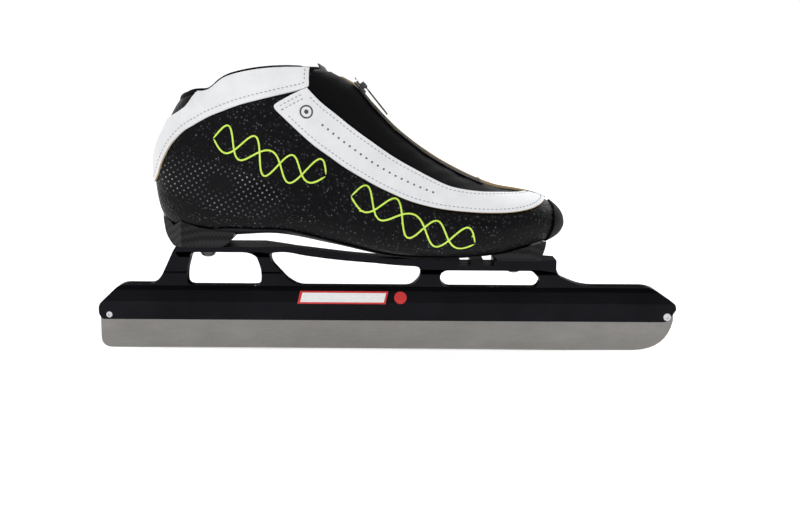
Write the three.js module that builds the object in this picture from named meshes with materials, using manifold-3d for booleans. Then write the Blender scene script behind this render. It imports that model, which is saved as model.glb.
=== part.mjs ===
// A fixed-blade speed skate: a low leather boot on a carbon shell, bolted to a long milled frame that
// grips a thin steel blade. Millimetres, +Z up, +X toward the toe, origin on the running edge at the
// middle of the blade. The skate is a right one, so its outer (lateral) side faces -Y.
import * as THREE from "three";
import { mergeVertices } from "three/addons/utils/BufferGeometryUtils.js";
import Module from "manifold-3d";

const wasm = await Module();
wasm.setup();

// ---- driving dimensions ----
const GAP = 0.3; // clearance kept between touching pieces
const BLADE_LENGTH = 406;
const BLADE_THICKNESS = 1.2;
const BLADE_TOP = 33; // hidden in the frame's slot
const ROCKER_RADIUS = 22000; // lengthwise curve of the running edge
const ROCKER_FLAT = 12; // half length of the ground flat in the middle
const TUBE_BOTTOM = 22;
const TUBE_TOP = 47.3;
const WEB_HALF = 5.5; // half thickness of the posts and the spar
const HEEL_PLATE = { top: 75.5, half: 18, slotX: -126, washerTop: 71.4 };
const TOE_PLATE = { top: 66.7, half: 15, slotX: 89, washerTop: 61.4 };
const SHIFT = 4; // sideways travel of the frame on its bolts, each way
const BOLT_R = 3;
const WASHER_R = 7;
const WASHER_T = 1.6;
const INSERT_R = 5;
const PINS = [
  { name: "rear_blade_pin", x: -195.5, z: 25.4, r: 2.1 },
  { name: "front_blade_screw", x: 197.5, z: 25.8, r: 2.6 },
];
// the zip lies on an arc about this centre, so that its slider can turn about it
const ZIP = { x: 135.2, z: 301.1, r: 194.5, top: 217, bottom: 248 };
// layers of the boot wall, as depths below the leather's outer face
const OVERLAY = [-1.6, -GAP];
const LEATHER = [0, 1.6];
const SHELL = [1.95, 3.7];
const LINING = [4.05, 5.6];
const TONGUE = [5.8, 8.6];

// ---- solids ----
function solid(geometry) {
  const g = geometry.clone();
  g.deleteAttribute("normal");
  g.deleteAttribute("uv");
  const m = mergeVertices(g, 1e-4);
  const mesh = new wasm.Mesh({
    numProp: 3,
    vertProperties: new Float32Array(m.attributes.position.array),
    triVerts: new Uint32Array(m.index.array),
  });
  return new wasm.Manifold(mesh);
}

function geometryOf(manifold) {
  const m = manifold.getMesh();
  const g = new THREE.BufferGeometry();
  g.setAttribute("position", new THREE.BufferAttribute(m.vertProperties, 3));
  g.setIndex(new THREE.BufferAttribute(m.triVerts, 1));
  g.computeVertexNormals();
  return g;
}

const join = (first, ...rest) => rest.reduce((a, b) => a.add(b), first);
const cut = (first, ...rest) => rest.reduce((a, b) => a.subtract(b), first);

// Outline through corners [x, y, radius]; a corner's rounding takes at most 0.45 of the edges beside it.
function outline(corners) {
  const shape = new THREE.Shape();
  const at = (i) => new THREE.Vector2(...corners.at(i % corners.length));
  corners.forEach(([, , r = 0], i) => {
    const back = at(i - 1).sub(at(i));
    const ahead = at(i + 1).sub(at(i));
    const reach = Math.min(r, 0.45 * back.length(), 0.45 * ahead.length());
    const start = at(i).add(back.setLength(reach));
    const end = at(i).add(ahead.setLength(reach));
    if (i) shape.lineTo(start.x, start.y);
    else shape.moveTo(start.x, start.y);
    if (reach) shape.quadraticCurveTo(at(i).x, at(i).y, end.x, end.y);
  });
  shape.closePath();
  return shape;
}

// The three prisms: along Y from a side view (x, z), along X from an end view (y, z), along Z from a plan.
function alongY(shape, low, high, segments = 4) {
  const depth = high - low;
  const g = new THREE.ExtrudeGeometry(shape, { depth, bevelEnabled: false, curveSegments: segments });
  return solid(g.rotateX(Math.PI / 2).translate(0, high, 0));
}

function alongX(shape, low, high) {
  const g = new THREE.ExtrudeGeometry(shape, { depth: high - low, bevelEnabled: false, curveSegments: 4 });
  const axes = new THREE.Matrix4().makeBasis(
    new THREE.Vector3(0, 1, 0),
    new THREE.Vector3(0, 0, 1),
    new THREE.Vector3(1, 0, 0),
  );
  return solid(g.applyMatrix4(axes).translate(low, 0, 0));
}

function alongZ(shape, low, high) {
  const g = new THREE.ExtrudeGeometry(shape, { depth: high - low, bevelEnabled: false, curveSegments: 4 });
  return solid(g.translate(0, 0, low));
}

// Turned piece about the Z line through (x, y): profile of [radius, z] from axis to axis.
function turned(profile, x, y, sides = 24) {
  const points = profile.map(([r, z]) => new THREE.Vector2(r, z));
  const g = new THREE.LatheGeometry(points, sides);
  return solid(g.rotateX(Math.PI / 2).translate(x, y, 0));
}

const tubeZ = (outer, inner, low, high, x, y, sides = 24) =>
  turned([[inner, low], [outer, low], [outer, high], [inner, high], [inner, low]], x, y, sides);

// Round bar along Y through (x, z).
function barY(r, low, high, x, z, sides = 20) {
  const g = new THREE.CylinderGeometry(r, r, high - low, sides);
  return solid(g.translate(x, (low + high) / 2, z));
}

const mirrored = (half) => [...half, ...half.map(([y, z]) => [-y, z]).reverse()];

// ---- frame and blade ----
const TUBE_SIDE = [
  [-200.5, TUBE_BOTTOM, 1], [197.5, TUBE_BOTTOM, 3], [204, 31, 3], [203, 35, 2],
  [185, TUBE_TOP, 6], [-187.5, TUBE_TOP, 5], [-203, 32.5, 4], [-203, 25.5, 2],
];
const FRAME_SIDE = [
  [-200.5, TUBE_BOTTOM, 1], [197.5, TUBE_BOTTOM, 3], [204, 31, 3], [203, 35, 2],
  [185, TUBE_TOP, 6], [137, TUBE_TOP, 9], [121, 54, 6], [118.3, 60, 2], [118.3, TOE_PLATE.top, 1],
  [14, TOE_PLATE.top, 8], [-25, 69.4, 12], [-69, 74.6, 1], [-87, HEEL_PLATE.top, 1],
  [-146.3, HEEL_PLATE.top, 1], [-149.5, 72, 3], [-158.5, 52.5, 6], [-164, TUBE_TOP, 5],
  [-187.5, TUBE_TOP, 5], [-203, 32.5, 4], [-203, 25.5, 2],
];
const WINDOWS = [
  [[-136.6, 71.7, 5], [-140.6, 56.5, 4], [-140.6, 46.4, 7], [-88.2, 46.4, 6], [-88.2, 57.8, 4],
    [-93.2, 71.7, 7]],
  [[-81.7, 71, 6], [-81.7, 63.5, 5], [-70, 50.8, 4], [-62, 46.3, 7], [17, 46.3, 6], [23.3, 53, 4],
    [23.3, 62.3, 5], [0, 62.3, 18], [-34, 64.8, 16], [-60, 68.2, 10], [-72, 71, 4]],
  [[40.9, 59.2, 2], [37.2, 55, 2.5], [37.4, 50, 3], [41.5, 46.2, 3], [105, 46.2, 4], [107.9, 51.5, 2],
    [100.8, 59.2, 2]],
];
const TUBE_END = mirrored([[-5.9, TUBE_BOTTOM], [-7, 35], [-6.3, 43], [-5.8, 46], [-3, TUBE_TOP]]);
const NOTCHES = [54.3, 70.5]; // spare mounting places across the toe plate
const NOTCH = { half: 3.7, floor: 62.9 };

// A plate that flares out of the web, narrowed at its ends by a plan outline.
function plate({ top, half }, flareLow, edgeLow, plan) {
  const section = mirrored([[-WEB_HALF, flareLow], [-half, edgeLow], [-half, top]]);
  const xs = plan.map(([x]) => x);
  const body = alongX(outline(section), Math.min(...xs), Math.max(...xs));
  return body.intersect(alongZ(outline(plan), flareLow - 1, top + 1));
}

function boltSlot(x, low, high) {
  const r = BOLT_R + 0.6;
  const end = r + SHIFT + 0.2;
  return alongZ(outline([[x - r, -end, r], [x + r, -end, r], [x + r, end, r], [x - r, end, r]]), low, high);
}

function frame() {
  const web = alongY(outline(FRAME_SIDE), -WEB_HALF, WEB_HALF);
  const tube = alongX(outline(TUBE_END), -210, 210).intersect(alongY(outline(TUBE_SIDE), -9, 9));
  const heelPlan = mirrored([[-146.3, -HEEL_PLATE.half], [-87, -HEEL_PLATE.half], [-66, -WEB_HALF]].map(
    ([x, y]) => [y, x])).map(([y, x]) => [x, y]);
  const toePlan = mirrored([[-8, -WEB_HALF], [18, -TOE_PLATE.half], [106, -TOE_PLATE.half], [118.3, -9]].map(
    ([x, y]) => [y, x])).map(([y, x]) => [x, y]);
  const side = alongY(outline(FRAME_SIDE), -30, 30);
  const heel = plate(HEEL_PLATE, 66.5, 72, heelPlan).intersect(side);
  const toe = plate(TOE_PLATE, 56, 60, toePlan).intersect(side);
  const ridge = alongX(outline(mirrored([[-WEB_HALF + 0.2, 54.6], [-WEB_HALF - 0.6, 55.6],
    [-WEB_HALF + 0.2, 56.6]])), -210, 210).intersect(side);
  const body = join(web, tube, heel, toe, ridge);
  const slotHalf = BLADE_THICKNESS / 2 + GAP;
  const bladeSlot = alongX(outline([[-slotHalf, 0], [slotHalf, 0], [slotHalf, BLADE_TOP + GAP],
    [-slotHalf, BLADE_TOP + GAP]]), -210, 210);
  const pocketR = WASHER_R + 0.5;
  const pocketEnd = pocketR + SHIFT + 0.2;
  const [pocketBack, pocketFront] = [TOE_PLATE.slotX - pocketR, TOE_PLATE.slotX + pocketR];
  const pocket = alongZ(outline([
    [pocketBack, -pocketEnd, pocketR * 0.8], [pocketFront, -pocketEnd, pocketR * 0.8],
    [pocketFront, pocketEnd, pocketR * 0.8], [pocketBack, pocketEnd, pocketR * 0.8],
  ]), 50, TOE_PLATE.washerTop + GAP);
  return cut(
    body,
    ...WINDOWS.map((corners) => alongY(outline(corners), -30, 30)),
    ...NOTCHES.map((x) => alongY(outline([[x - NOTCH.half, NOTCH.floor], [x + NOTCH.half, NOTCH.floor],
      [x + NOTCH.half, 80], [x - NOTCH.half, 80]]), -30, 30)),
    ...PINS.map(({ x, z, r }) => barY(r + GAP, -12, 12, x, z)),
    boltSlot(HEEL_PLATE.slotX, 60, 90),
    boltSlot(TOE_PLATE.slotX, 50, 90),
    pocket,
    bladeSlot,
  );
}

function blade() {
  const half = BLADE_LENGTH / 2;
  const rise = (x) => Math.max(0, Math.abs(x) - ROCKER_FLAT) ** 2 / (2 * ROCKER_RADIUS);
  const shape = new THREE.Shape();
  const steps = 16;
  const heelRound = 8;
  const toeRound = [27, 22];
  shape.moveTo(-half, BLADE_TOP - 4);
  shape.lineTo(-half, heelRound + rise(half));
  shape.quadraticCurveTo(-half, rise(half), -half + heelRound, rise(half - heelRound));
  for (let i = 1; i < steps; i++) {
    const x = -half + heelRound + ((BLADE_LENGTH - heelRound - toeRound[0]) * i) / steps;
    shape.lineTo(x, rise(x));
  }
  const front = half - toeRound[0];
  shape.lineTo(front, rise(front));
  shape.quadraticCurveTo(half - 4, rise(front) + 1, half, toeRound[1]);
  shape.lineTo(half, BLADE_TOP - 4);
  shape.lineTo(half - 12, BLADE_TOP);
  shape.lineTo(-half + 4, BLADE_TOP);
  shape.closePath();
  const thick = BLADE_THICKNESS / 2;
  return cut(alongY(shape, -thick, thick, 8), ...PINS.map(({ x, z, r }) => barY(r + GAP, -5, 5, x, z)));
}

function bladePin({ x, z, r }) {
  const length = 6.6;
  const socket = barY(r * 0.5, -length - 1, -length + 0.9, x, z, 6);
  return cut(barY(r, -length, length, x, z), socket);
}

// ---- boot surface ----
// A cross-section stands on each line from the boot's top line (T) to its bottom line (B), as (x, z).
// c: sideways centre, w: half width, f: where the width is greatest from T to B, nt and nb: how square
// the section is above and below that, bow: how far the line bends up (with a dip before its rear end).
const onZip = (degrees, depth = 0) => {
  const a = THREE.MathUtils.degToRad(degrees);
  return [ZIP.x + (ZIP.r + depth) * Math.cos(a), ZIP.z + (ZIP.r + depth) * Math.sin(a)];
};
const STATIONS = [
  { T: [-54, 210], B: [-128, 190], c: 0, w: 35, f: 0.5, nt: 2.1, nb: 2.1, bow: 9 },
  { T: [-41, 197], B: [-142.5, 176.5], c: 0, w: 36, f: 0.5, nt: 2.0, nb: 2.1, bow: 8.5 },
  { T: [-30, 191], B: [-152.5, 159.5], c: 0, w: 36, f: 0.5, nt: 1.9, nb: 2.1, bow: 5 },
  { T: onZip(217), B: [-161, 139], c: 0, w: 36, f: 0.5, nt: 1.9, nb: 2.2, bow: 2 },
  { T: onZip(222), B: [-160.8, 116], c: 0, w: 36, f: 0.5, nt: 1.9, nb: 2.3, bow: 0 },
  { T: onZip(227), B: [-155.5, 96], c: 0, w: 36, f: 0.5, nt: 1.9, nb: 2.4, bow: 0 },
  { T: onZip(232), B: [-141, 85.5], c: 0, w: 37, f: 0.5, nt: 1.95, nb: 2.6, bow: 0 },
  { T: onZip(237), B: [-111, 84.5], c: 1, w: 39, f: 0.52, nt: 2, nb: 2.8, bow: 0 },
  { T: onZip(242), B: [-76, 86], c: 1.5, w: 42, f: 0.55, nt: 2, nb: 3, bow: 0 },
  { T: onZip(247), B: [-38, 79.5], c: 2, w: 45, f: 0.57, nt: 2, nb: 3.2, bow: 0 },
  { T: onZip(252), B: [0, 71.8], c: 3, w: 47.5, f: 0.58, nt: 2, nb: 3.4, bow: 0 },
  { T: [91, 113.2], B: [38, 69.8], c: 4.5, w: 48, f: 0.58, nt: 2.1, nb: 3.4, bow: 0 },
  { T: [101.5, 111.2], B: [70, 71.5], c: 6, w: 45, f: 0.58, nt: 2.2, nb: 3.2, bow: 0 },
  { T: [110.5, 107.8], B: [93, 76], c: 8, w: 39, f: 0.57, nt: 2.2, nb: 3, bow: 0 },
  { T: [117.3, 103], B: [108, 79.5], c: 9, w: 30.5, f: 0.55, nt: 2.2, nb: 2.6, bow: 0 },
  { T: [121.6, 97.8], B: [117.5, 83.2], c: 10, w: 19, f: 0.5, nt: 2.1, nb: 2.2, bow: 0 },
  { T: [123.4, 92], B: [122.6, 88], c: 10, w: 4, f: 0.5, nt: 2, nb: 2, bow: 0 },
];
const TIP = STATIONS.length - 1;

const spline = (a, b, c, d, s) =>
  b + 0.5 * s * (c - a + s * (2 * a - 5 * b + 4 * c - d + s * (3 * (b - c) + d - a)));

function stationAt(t) {
  const i = Math.min(Math.max(Math.floor(t), 0), TIP - 1);
  const s = t - i;
  const near = [i - 1, i, i + 1, i + 2].map((k) => STATIONS[Math.min(Math.max(k, 0), TIP)]);
  const mix = (read) => spline(...near.map(read), s);
  const out = { T: [0, 1].map((k) => mix((e) => e.T[k])), B: [0, 1].map((k) => mix((e) => e.B[k])) };
  for (const key of ["c", "w", "f", "nt", "nb", "bow"]) out[key] = mix((e) => e[key]);
  return out;
}

// How far a section's outline has gone from T to B (0 to 1) and how wide it is (0 to 1) at an angle.
function roundOff(s, angle) {
  const lower = angle > Math.PI / 2;
  const n = 2 / (lower ? s.nb : s.nt);
  const c = Math.abs(Math.cos(angle)) ** n;
  const width = Math.sin(angle) ** n;
  return [lower ? s.f + (1 - s.f) * c : s.f * (1 - c), width];
}

const OUTLINE_STEPS = 48;
const angleTables = new Map();

// The angle at a share v of the way round half a section, measured along its outline.
function angleAt(t, v) {
  if (!angleTables.has(t)) {
    const s = stationAt(t);
    const reach = Math.hypot(s.B[0] - s.T[0], s.B[1] - s.T[1]);
    const lengths = [0];
    let last = roundOff(s, 0);
    for (let i = 1; i <= OUTLINE_STEPS; i++) {
      const next = roundOff(s, Math.min((Math.PI * i) / OUTLINE_STEPS, Math.PI - 1e-9));
      lengths.push(lengths[i - 1] + Math.hypot((next[0] - last[0]) * reach, (next[1] - last[1]) * s.w));
      last = next;
    }
    angleTables.set(t, lengths);
  }
  const lengths = angleTables.get(t);
  const goal = Math.min(Math.abs(v), 1) * lengths[OUTLINE_STEPS];
  let i = 1;
  while (i < OUTLINE_STEPS && lengths[i] < goal) i++;
  const share = (goal - lengths[i - 1]) / (lengths[i] - lengths[i - 1]);
  return Math.min((Math.PI * (i - 1 + share)) / OUTLINE_STEPS, Math.PI - 1e-9);
}

function inward(t, key, toward) {
  const step = 0.02;
  const a = stationAt(Math.max(t - step, 0))[key];
  const b = stationAt(Math.min(t + step, TIP))[key];
  const n = new THREE.Vector2(b[1] - a[1], a[0] - b[0]).normalize();
  return n.dot(toward) < 0 ? n.negate() : n;
}

// The collar's line dips before the heel.
const COLLAR_DIP = { at: 0.765, width: 0.085, depth: 0.5 };
const gauss = (k) => Math.exp(-k * k);

// Point of the boot wall: t along the stations, v from the top line (0) round the lateral side to the
// bottom line (1) and round the medial side as 0 to -1 (or on as 1 to 2), depth below the outer face.
function wallPoint(t, v, depth) {
  const s = stationAt(t);
  const turn = v > 1 ? v - 2 : v;
  const across = new THREE.Vector2(s.B[0] - s.T[0], s.B[1] - s.T[1]);
  const T = inward(t, "T", across).multiplyScalar(depth).add(new THREE.Vector2(...s.T));
  const B = inward(t, "B", across.negate()).multiplyScalar(depth).add(new THREE.Vector2(...s.B));
  const [along, width] = roundOff(s, angleAt(t, turn));
  const bend = new THREE.Vector2(T.y - B.y, B.x - T.x).normalize().negate();
  const dip = COLLAR_DIP.depth * gauss((along - COLLAR_DIP.at) / COLLAR_DIP.width);
  const rise = Math.sin(Math.PI * along) - dip;
  const p = T.clone().lerp(B, along).addScaledVector(bend, s.bow * rise);
  return new THREE.Vector3(p.x, s.c - Math.sign(turn || 1) * width * Math.max(s.w - depth, 0.2), p.y);
}

// Height of a side-view curve, given as [x, z] points, at x.
function heightAt(curve, x) {
  let i = 1;
  while (i < curve.length - 1 && curve[i][0] < x) i++;
  const [[x0, z0], [x1, z1]] = [curve[i - 1], curve[i]];
  return z0 + ((z1 - z0) * (x - x0)) / (x1 - x0);
}

// Where a path on the wall first drops under a side-view curve, between two values.
function crossing(path, curve, low, high) {
  const under = (k) => {
    const p = path(k);
    return p.z < heightAt(curve, p.x);
  };
  const steps = 80;
  let i = 0;
  while (i < steps && !under(low + ((high - low) * i) / steps)) i++;
  if (i === 0) return low;
  let a = low + ((high - low) * (i - 1)) / steps;
  let b = low + ((high - low) * i) / steps;
  for (let k = 0; k < 12; k++) {
    const m = (a + b) / 2;
    if (under(m)) b = m;
    else a = m;
  }
  return a;
}

// ---- boot wall pieces ----
// A closed sheet: at(i, j) in 0..1 gives [t, v]; the faces lie at two depths. A ring runs all the way
// round in j; a tip closes the ring's last row on both faces.
function sheet(rows, columns, at, [outer, inner], { ring = false, tip = false } = {}) {
  const level = (depth, t, v) => (typeof depth === "function" ? depth(t, v) : depth);
  const perRow = ring ? columns : columns + 1;
  const points = [];
  for (const depth of [outer, inner])
    for (let i = 0; i <= rows; i++)
      for (let j = 0; j < perRow; j++) {
        const [t, v] = at(i / rows, j / columns);
        points.push(wallPoint(t, v, level(depth, t, v)));
      }
  const side = (rows + 1) * perRow;
  const index = (face, i, j) => face * side + i * perRow + (ring ? j % columns : j);
  const faces = [];
  const quad = (a, b, c, d) => faces.push(a, b, c, a, c, d);
  for (let i = 0; i < rows; i++)
    for (let j = 0; j < columns; j++) {
      quad(index(0, i, j), index(0, i, j + 1), index(0, i + 1, j + 1), index(0, i + 1, j));
      quad(index(1, i, j), index(1, i + 1, j), index(1, i + 1, j + 1), index(1, i, j + 1));
    }
  for (let j = 0; j < columns; j++) {
    quad(index(1, 0, j), index(1, 0, j + 1), index(0, 0, j + 1), index(0, 0, j));
    if (!tip) quad(index(0, rows, j), index(0, rows, j + 1), index(1, rows, j + 1), index(1, rows, j));
  }
  if (tip)
    for (const face of [0, 1]) {
      const middle = new THREE.Vector3();
      for (let j = 0; j < columns; j++) middle.add(points[index(face, rows, j)]);
      const hub = points.push(middle.divideScalar(columns)) - 1;
      for (let j = 0; j < columns; j++) {
        const [a, b] = [index(face, rows, j), index(face, rows, j + 1)];
        faces.push(...(face ? [a, hub, b] : [a, b, hub]));
      }
    }
  if (!ring)
    for (let i = 0; i < rows; i++) {
      quad(index(0, i, 0), index(0, i + 1, 0), index(1, i + 1, 0), index(1, i, 0));
      quad(index(1, i, columns), index(1, i + 1, columns), index(0, i + 1, columns), index(0, i, columns));
    }
  return closed(points, faces);
}

function closed(points, faces) {
  let volume = 0;
  for (let i = 0; i < faces.length; i += 3) {
    const [a, b, c] = [0, 1, 2].map((k) => points[faces[i + k]]);
    volume += a.dot(b.clone().cross(c));
  }
  const indices = volume < 0 ? faces.slice().reverse() : faces;
  const g = new THREE.BufferGeometry();
  g.setAttribute("position", new THREE.Float32BufferAttribute(points.flatMap((p) => p.toArray()), 3));
  g.setIndex(indices);
  return solid(g);
}

const lerp = THREE.MathUtils.lerp;
const ease = (k) => Math.sin((k * Math.PI) / 2);

// Edges seen from the side, [x, z].
const FACING_TOP = [[-60, 190], [-46, 175], [-35, 166], [-24, 157], [-13, 149], [3, 138], [20, 128.5],
  [31, 123], [41, 118.6], [52, 115.9], [63, 114.2], [80, 113], [100, 112.4], [125, 113]];
const FACING_LOW = [[-71.5, 167], [-60, 156], [-50, 147], [-39, 139], [-29, 132], [-18, 125.5],
  [-7, 119.5], [3, 115], [14, 110.5], [25, 107.3], [36, 105], [52, 103], [70, 102], [90, 102.8], [100, 104.6],
  [108, 107.5], [116, 112]];
const BAND_LOW = [[-170, 121], [-158, 122], [-155.6, 126.5], [-154, 131], [-151, 137], [-147, 144],
  [-141, 151], [-136, 155.5], [-130, 159], [-120, 164.5], [-109, 169], [-98, 173], [-87, 176],
  [-77, 178.5], [-66, 181]];
const BAND_TOP = [[-160, 160], [-144, 168.5], [-139, 171], [-134, 175], [-130, 181], [-120, 190],
  [-100, 220]];
const BAND_FRONT = -53;
const SHELL_RIM = [[-170, 158], [-150, 156], [-125, 146], [-90, 136], [-40, 128], [-10, 122], [140, 112]];

const THROAT = { top: 1.15, end: 12.35, medial: -0.062 };
const facingTopV = (t) => crossing((v) => wallPoint(t, v, 0), FACING_TOP, 0.02, 0.6);

// Share of the girth at which a section passes the collar band's front end.
function frontV(t) {
  let v = 0.02;
  while (v < 0.5 && wallPoint(t, v, 0).x > BAND_FRONT) v += 0.005;
  return v;
}

const closing = (t) => Math.min(1, Math.max(0, (THROAT.end - t) / 0.8)) ** 0.5;
const throatMedial = (t) => THROAT.medial * closing(t);

// The throat's lateral edge: down beside the collar band, then along the top of the facing.
function throatLateral(t) {
  if (t > 2.2) return facingTopV(t) * closing(t);
  return lerp(frontV(t), facingTopV(2.2), Math.max(0, (t - 1.6) / 0.6));
}

// The throat region as a closed sheet, widened by a share of the half girth.
const throat = (rows, columns, widen, levels, from = THROAT.top, to = THROAT.end) =>
  sheet(rows, columns, (i, j) => {
    const t = lerp(from, to + widen * 6, ease(i));
    const inside = Math.min(t, THROAT.end - 0.02);
    return [t, lerp(throatMedial(inside) - widen, throatLateral(inside) + widen, j)];
  }, levels);

// Every full layer is meshed on the same lines, so that nested layers stay a constant gap apart.
const COLUMNS = 24;
const ROWS = [1, 2, 3, 4, 4.5, 5, 5.5, 6, 6.5, 7, 8, 9, 10, 11, 12, 12.5, 13, 13.5, 14, 14.5, 15, 15.5, 16];

function layer(levels, top, end = TIP) {
  const rows = [top, ...ROWS.filter((t) => t > top + 0.1 && t < end - 0.1), end];
  const at = (i, j) => [rows[Math.round(i * (rows.length - 1))], -1 + 2 * j];
  return sheet(rows.length - 1, COLUMNS, at, levels, { ring: true, tip: true });
}

// Everything beyond a side-view curve, up to a far corner line.
const beyond = (curve, corners) => alongY(outline([...curve.map(([x, z]) => [x, z]), ...corners]), -80, 80);

const BUMPER_EDGE = [[112, 125], [112.6, 108], [114.6, 103], [113.6, 92], [108.5, 78], [104, 60]];
const bumperRegion = (shift) =>
  beyond(BUMPER_EDGE.map(([x, z]) => [x - shift, z]), [[140, 60], [140, 125]]);

const throatCut = (widen, from) => throat(22, 3, widen, [-6, 14], from);

function facing() {
  const region = beyond(FACING_LOW, [[135, 125], [135, 160], [-22, 193], [-52, 187.5], [-52.2, 183.9],
    [-57, 182.6], [-75, 172, 3]]);
  return cut(layer(OVERLAY, 1.04).intersect(region), throatCut(0, 0.5), bumperRegion(GAP + 0.1));
}

function collarBand() {
  const region = beyond(BAND_LOW, [[BAND_FRONT, 184.2, 3], [BAND_FRONT, 220],
    ...BAND_TOP.slice().reverse(), [-170, 158]]);
  return layer(OVERLAY, 1.04).intersect(region);
}

const leather = () => cut(layer(LEATHER, 1.12), throatCut(0.022, 0.5));
const toeBumper = () => layer([-1.4, -GAP], 12).intersect(bumperRegion(0));
const aboveRim = (shift) => beyond(SHELL_RIM.map(([x, z]) => [x, z + shift]), [[140, 220], [-170, 220]]);
const carbonShell = () => cut(layer(SHELL, 1.12, 15.75), aboveRim(0), throatCut(0.085, 0.5));
const padding = () => cut(layer(SHELL, 1.08, 13).intersect(aboveRim(0.6)), throatCut(0.085, 0.5));
const lining = () => cut(layer(LINING, 1, 15.4), throatCut(0.085, 0.3));
const laceCover = () => layer([0.1, 1.4], 1.12, 14).intersect(throatCut(0.015, 0.5));

function outsole() {
  const region = sheet(12, 4, (i, j) => [lerp(6.2, 13.45, i), lerp(0.8, 1.2, j)], [-4, 2]);
  return layer([-1.5, -GAP], 5).intersect(region);
}

// The tongue fills the throat behind the laces and comes up over the collar.
function tongue() {
  const rise = (t) => Math.min(1, Math.max(0, (t - 0.85) / 0.9));
  return sheet(14, 8, (i, j) => {
    const t = lerp(0.7, 10.6, i);
    const side = lerp(-0.02, 0.06, rise(t));
    return [t, lerp(throatMedial(Math.max(t, 1)) - side, throatLateral(Math.max(t, 1)) + side, j)];
  }, [(t) => lerp(2.2, TONGUE[0], rise(t)), (t) => lerp(5.2, TONGUE[1], rise(t))]);
}

const insole = () => sheet(11, 4, (i, j) => [lerp(6.4, 14.3, i), lerp(0.76, 1.24, j)], [6.6, 9]);

// ---- laces ----
const LACE = { rows: 6, first: 4.2, last: 10.6, depth: 3.2, half: 0.6 };
const laceT = (k) => lerp(LACE.first, LACE.last, k / LACE.rows);
const laceV = (k) => {
  const t = laceT(k);
  return k % 2 ? throatMedial(t) - 0.045 : throatLateral(t) + 0.045;
};

function lace() {
  const points = [];
  for (let k = 0; k < LACE.rows; k++)
    for (const share of k ? [0.33, 0.66, 1] : [0, 0.33, 0.66, 1]) {
      const t = lerp(laceT(k), laceT(k + 1), share);
      points.push(wallPoint(t, lerp(laceV(k), laceV(k + 1), share), LACE.depth));
    }
  const path = new THREE.CatmullRomCurve3(points, false, "catmullrom", 0.35);
  const r = LACE.half;
  const section = new THREE.Shape();
  section.absarc(0, 0, r, 0, Math.PI * 2);
  return solid(new THREE.ExtrudeGeometry(section, { steps: 48, extrudePath: path, curveSegments: 3,
    bevelEnabled: false }));
}

// ---- zip ----
const zipDegrees = (mm) => THREE.MathUtils.radToDeg(mm / ZIP.r);

// A bar that follows the zip's arc between two angles: end-view outline of [y, height over the leather].
function alongZip(section, from, to, steps) {
  const points = [];
  const faces = [];
  const n = section.length;
  for (let i = 0; i <= steps; i++)
    for (const [y, height] of section) {
      const [x, z] = onZip(lerp(from, to, i / steps), -height);
      points.push(new THREE.Vector3(x, y, z));
    }
  for (let i = 0; i < steps; i++)
    for (let j = 0; j < n; j++) {
      const [a, b] = [i * n + j, i * n + ((j + 1) % n)];
      faces.push(a, b, b + n, a, b + n, a + n);
    }
  for (let j = 1; j < n - 1; j++) {
    faces.push(0, j + 1, j);
    faces.push(steps * n, steps * n + j, steps * n + j + 1);
  }
  return closed(points, faces);
}

const COIL_TOP = 1.6;
const box = (y, low, high) => [[-y, low], [y, low], [y, high], [-y, high]];
const zipTape = () => join(
  alongZip([[-5, 0.3], [5, 0.3], [5, 0.9], [-5, 0.9]], ZIP.top - 1.6, ZIP.bottom + 1.4, 30),
  alongZip([[-1.7, 0.6], [1.7, 0.6], [1.7, 1.2], [1, COIL_TOP], [-1, COIL_TOP], [-1.7, 1.2]],
    ZIP.top - 1.2, ZIP.bottom + 0.6, 28),
);
const zipStop = (angle) => {
  const half = zipDegrees(0.9);
  return alongZip(box(2.6, COIL_TOP + GAP, COIL_TOP + 0.9), angle - half, angle + half, 1);
};
const SLIDER = { half: 5, low: 1.25, high: 2.7, y: 4.2 };
const PULL = { pivot: 4.4, length: 26, y: 2.6, thick: 1.1, tilt: -1.8 };

function zipSlider() {
  const half = zipDegrees(SLIDER.half);
  const narrow = zipDegrees(2.2);
  const { y, low, high } = SLIDER;
  const shell = alongZip([[-y, low], [y, low], [y, high - 0.5], [3, high], [-3, high], [-y, high - 0.5]],
    ZIP.top - half, ZIP.top + half, 3);
  const channel = alongZip(box(2.1, 0, COIL_TOP + 0.35), ZIP.top - 2 * half, ZIP.top + 2 * half, 2);
  const ears = [-1, 1].map((side) => {
    const [a, b] = [side * 1.5, side * 2.7].sort((p, q) => p - q);
    return alongZip([[a, high - 0.3], [b, high - 0.3], [b, PULL.pivot + 1.1], [a, PULL.pivot + 1.1]],
      ZIP.top - narrow, ZIP.top + narrow, 1);
  });
  const [px, pz] = onZip(ZIP.top, -PULL.pivot);
  const pin = barY(0.7, -2, 2, px, pz, 10);
  return join(cut(shell, channel), ...ears, pin);
}

// The tab: an eye round the slider's pin, a neck, and a long rounded blade lying toward the toe.
function zipPull() {
  const eye = outline([[-1.45, -1.45, 1.45], [2.6, -1.3, 0.5], [2.6, 1.3, 0.5], [-1.45, 1.45, 1.45]]);
  const hub = cut(alongY(eye, -1.15, 1.15), barY(1.05, -3, 3, 0, 0, 10));
  const tab = alongZ(outline([[1.9, -PULL.y * 0.4, 0.3], [6, -PULL.y, 1.5], [PULL.length, -PULL.y, 2],
    [PULL.length, PULL.y, 2], [6, PULL.y, 1.5], [1.9, PULL.y * 0.4, 0.3]]), -PULL.thick / 2, PULL.thick / 2);
  const hole = turned([[0, -3], [1.2, -3], [1.2, 3], [0, 3]], PULL.length - 4, 0, 12);
  return join(hub, cut(tab, hole));
}

// ---- mounting blocks and hardware ----
// The whole boot as one solid, a little larger than its outsole, to hollow the blocks' tops.
const bootBulk = () => layer([-1.5 - GAP, (t) => Math.min(24, 4 + 4 * (TIP - t))], 2);

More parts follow.
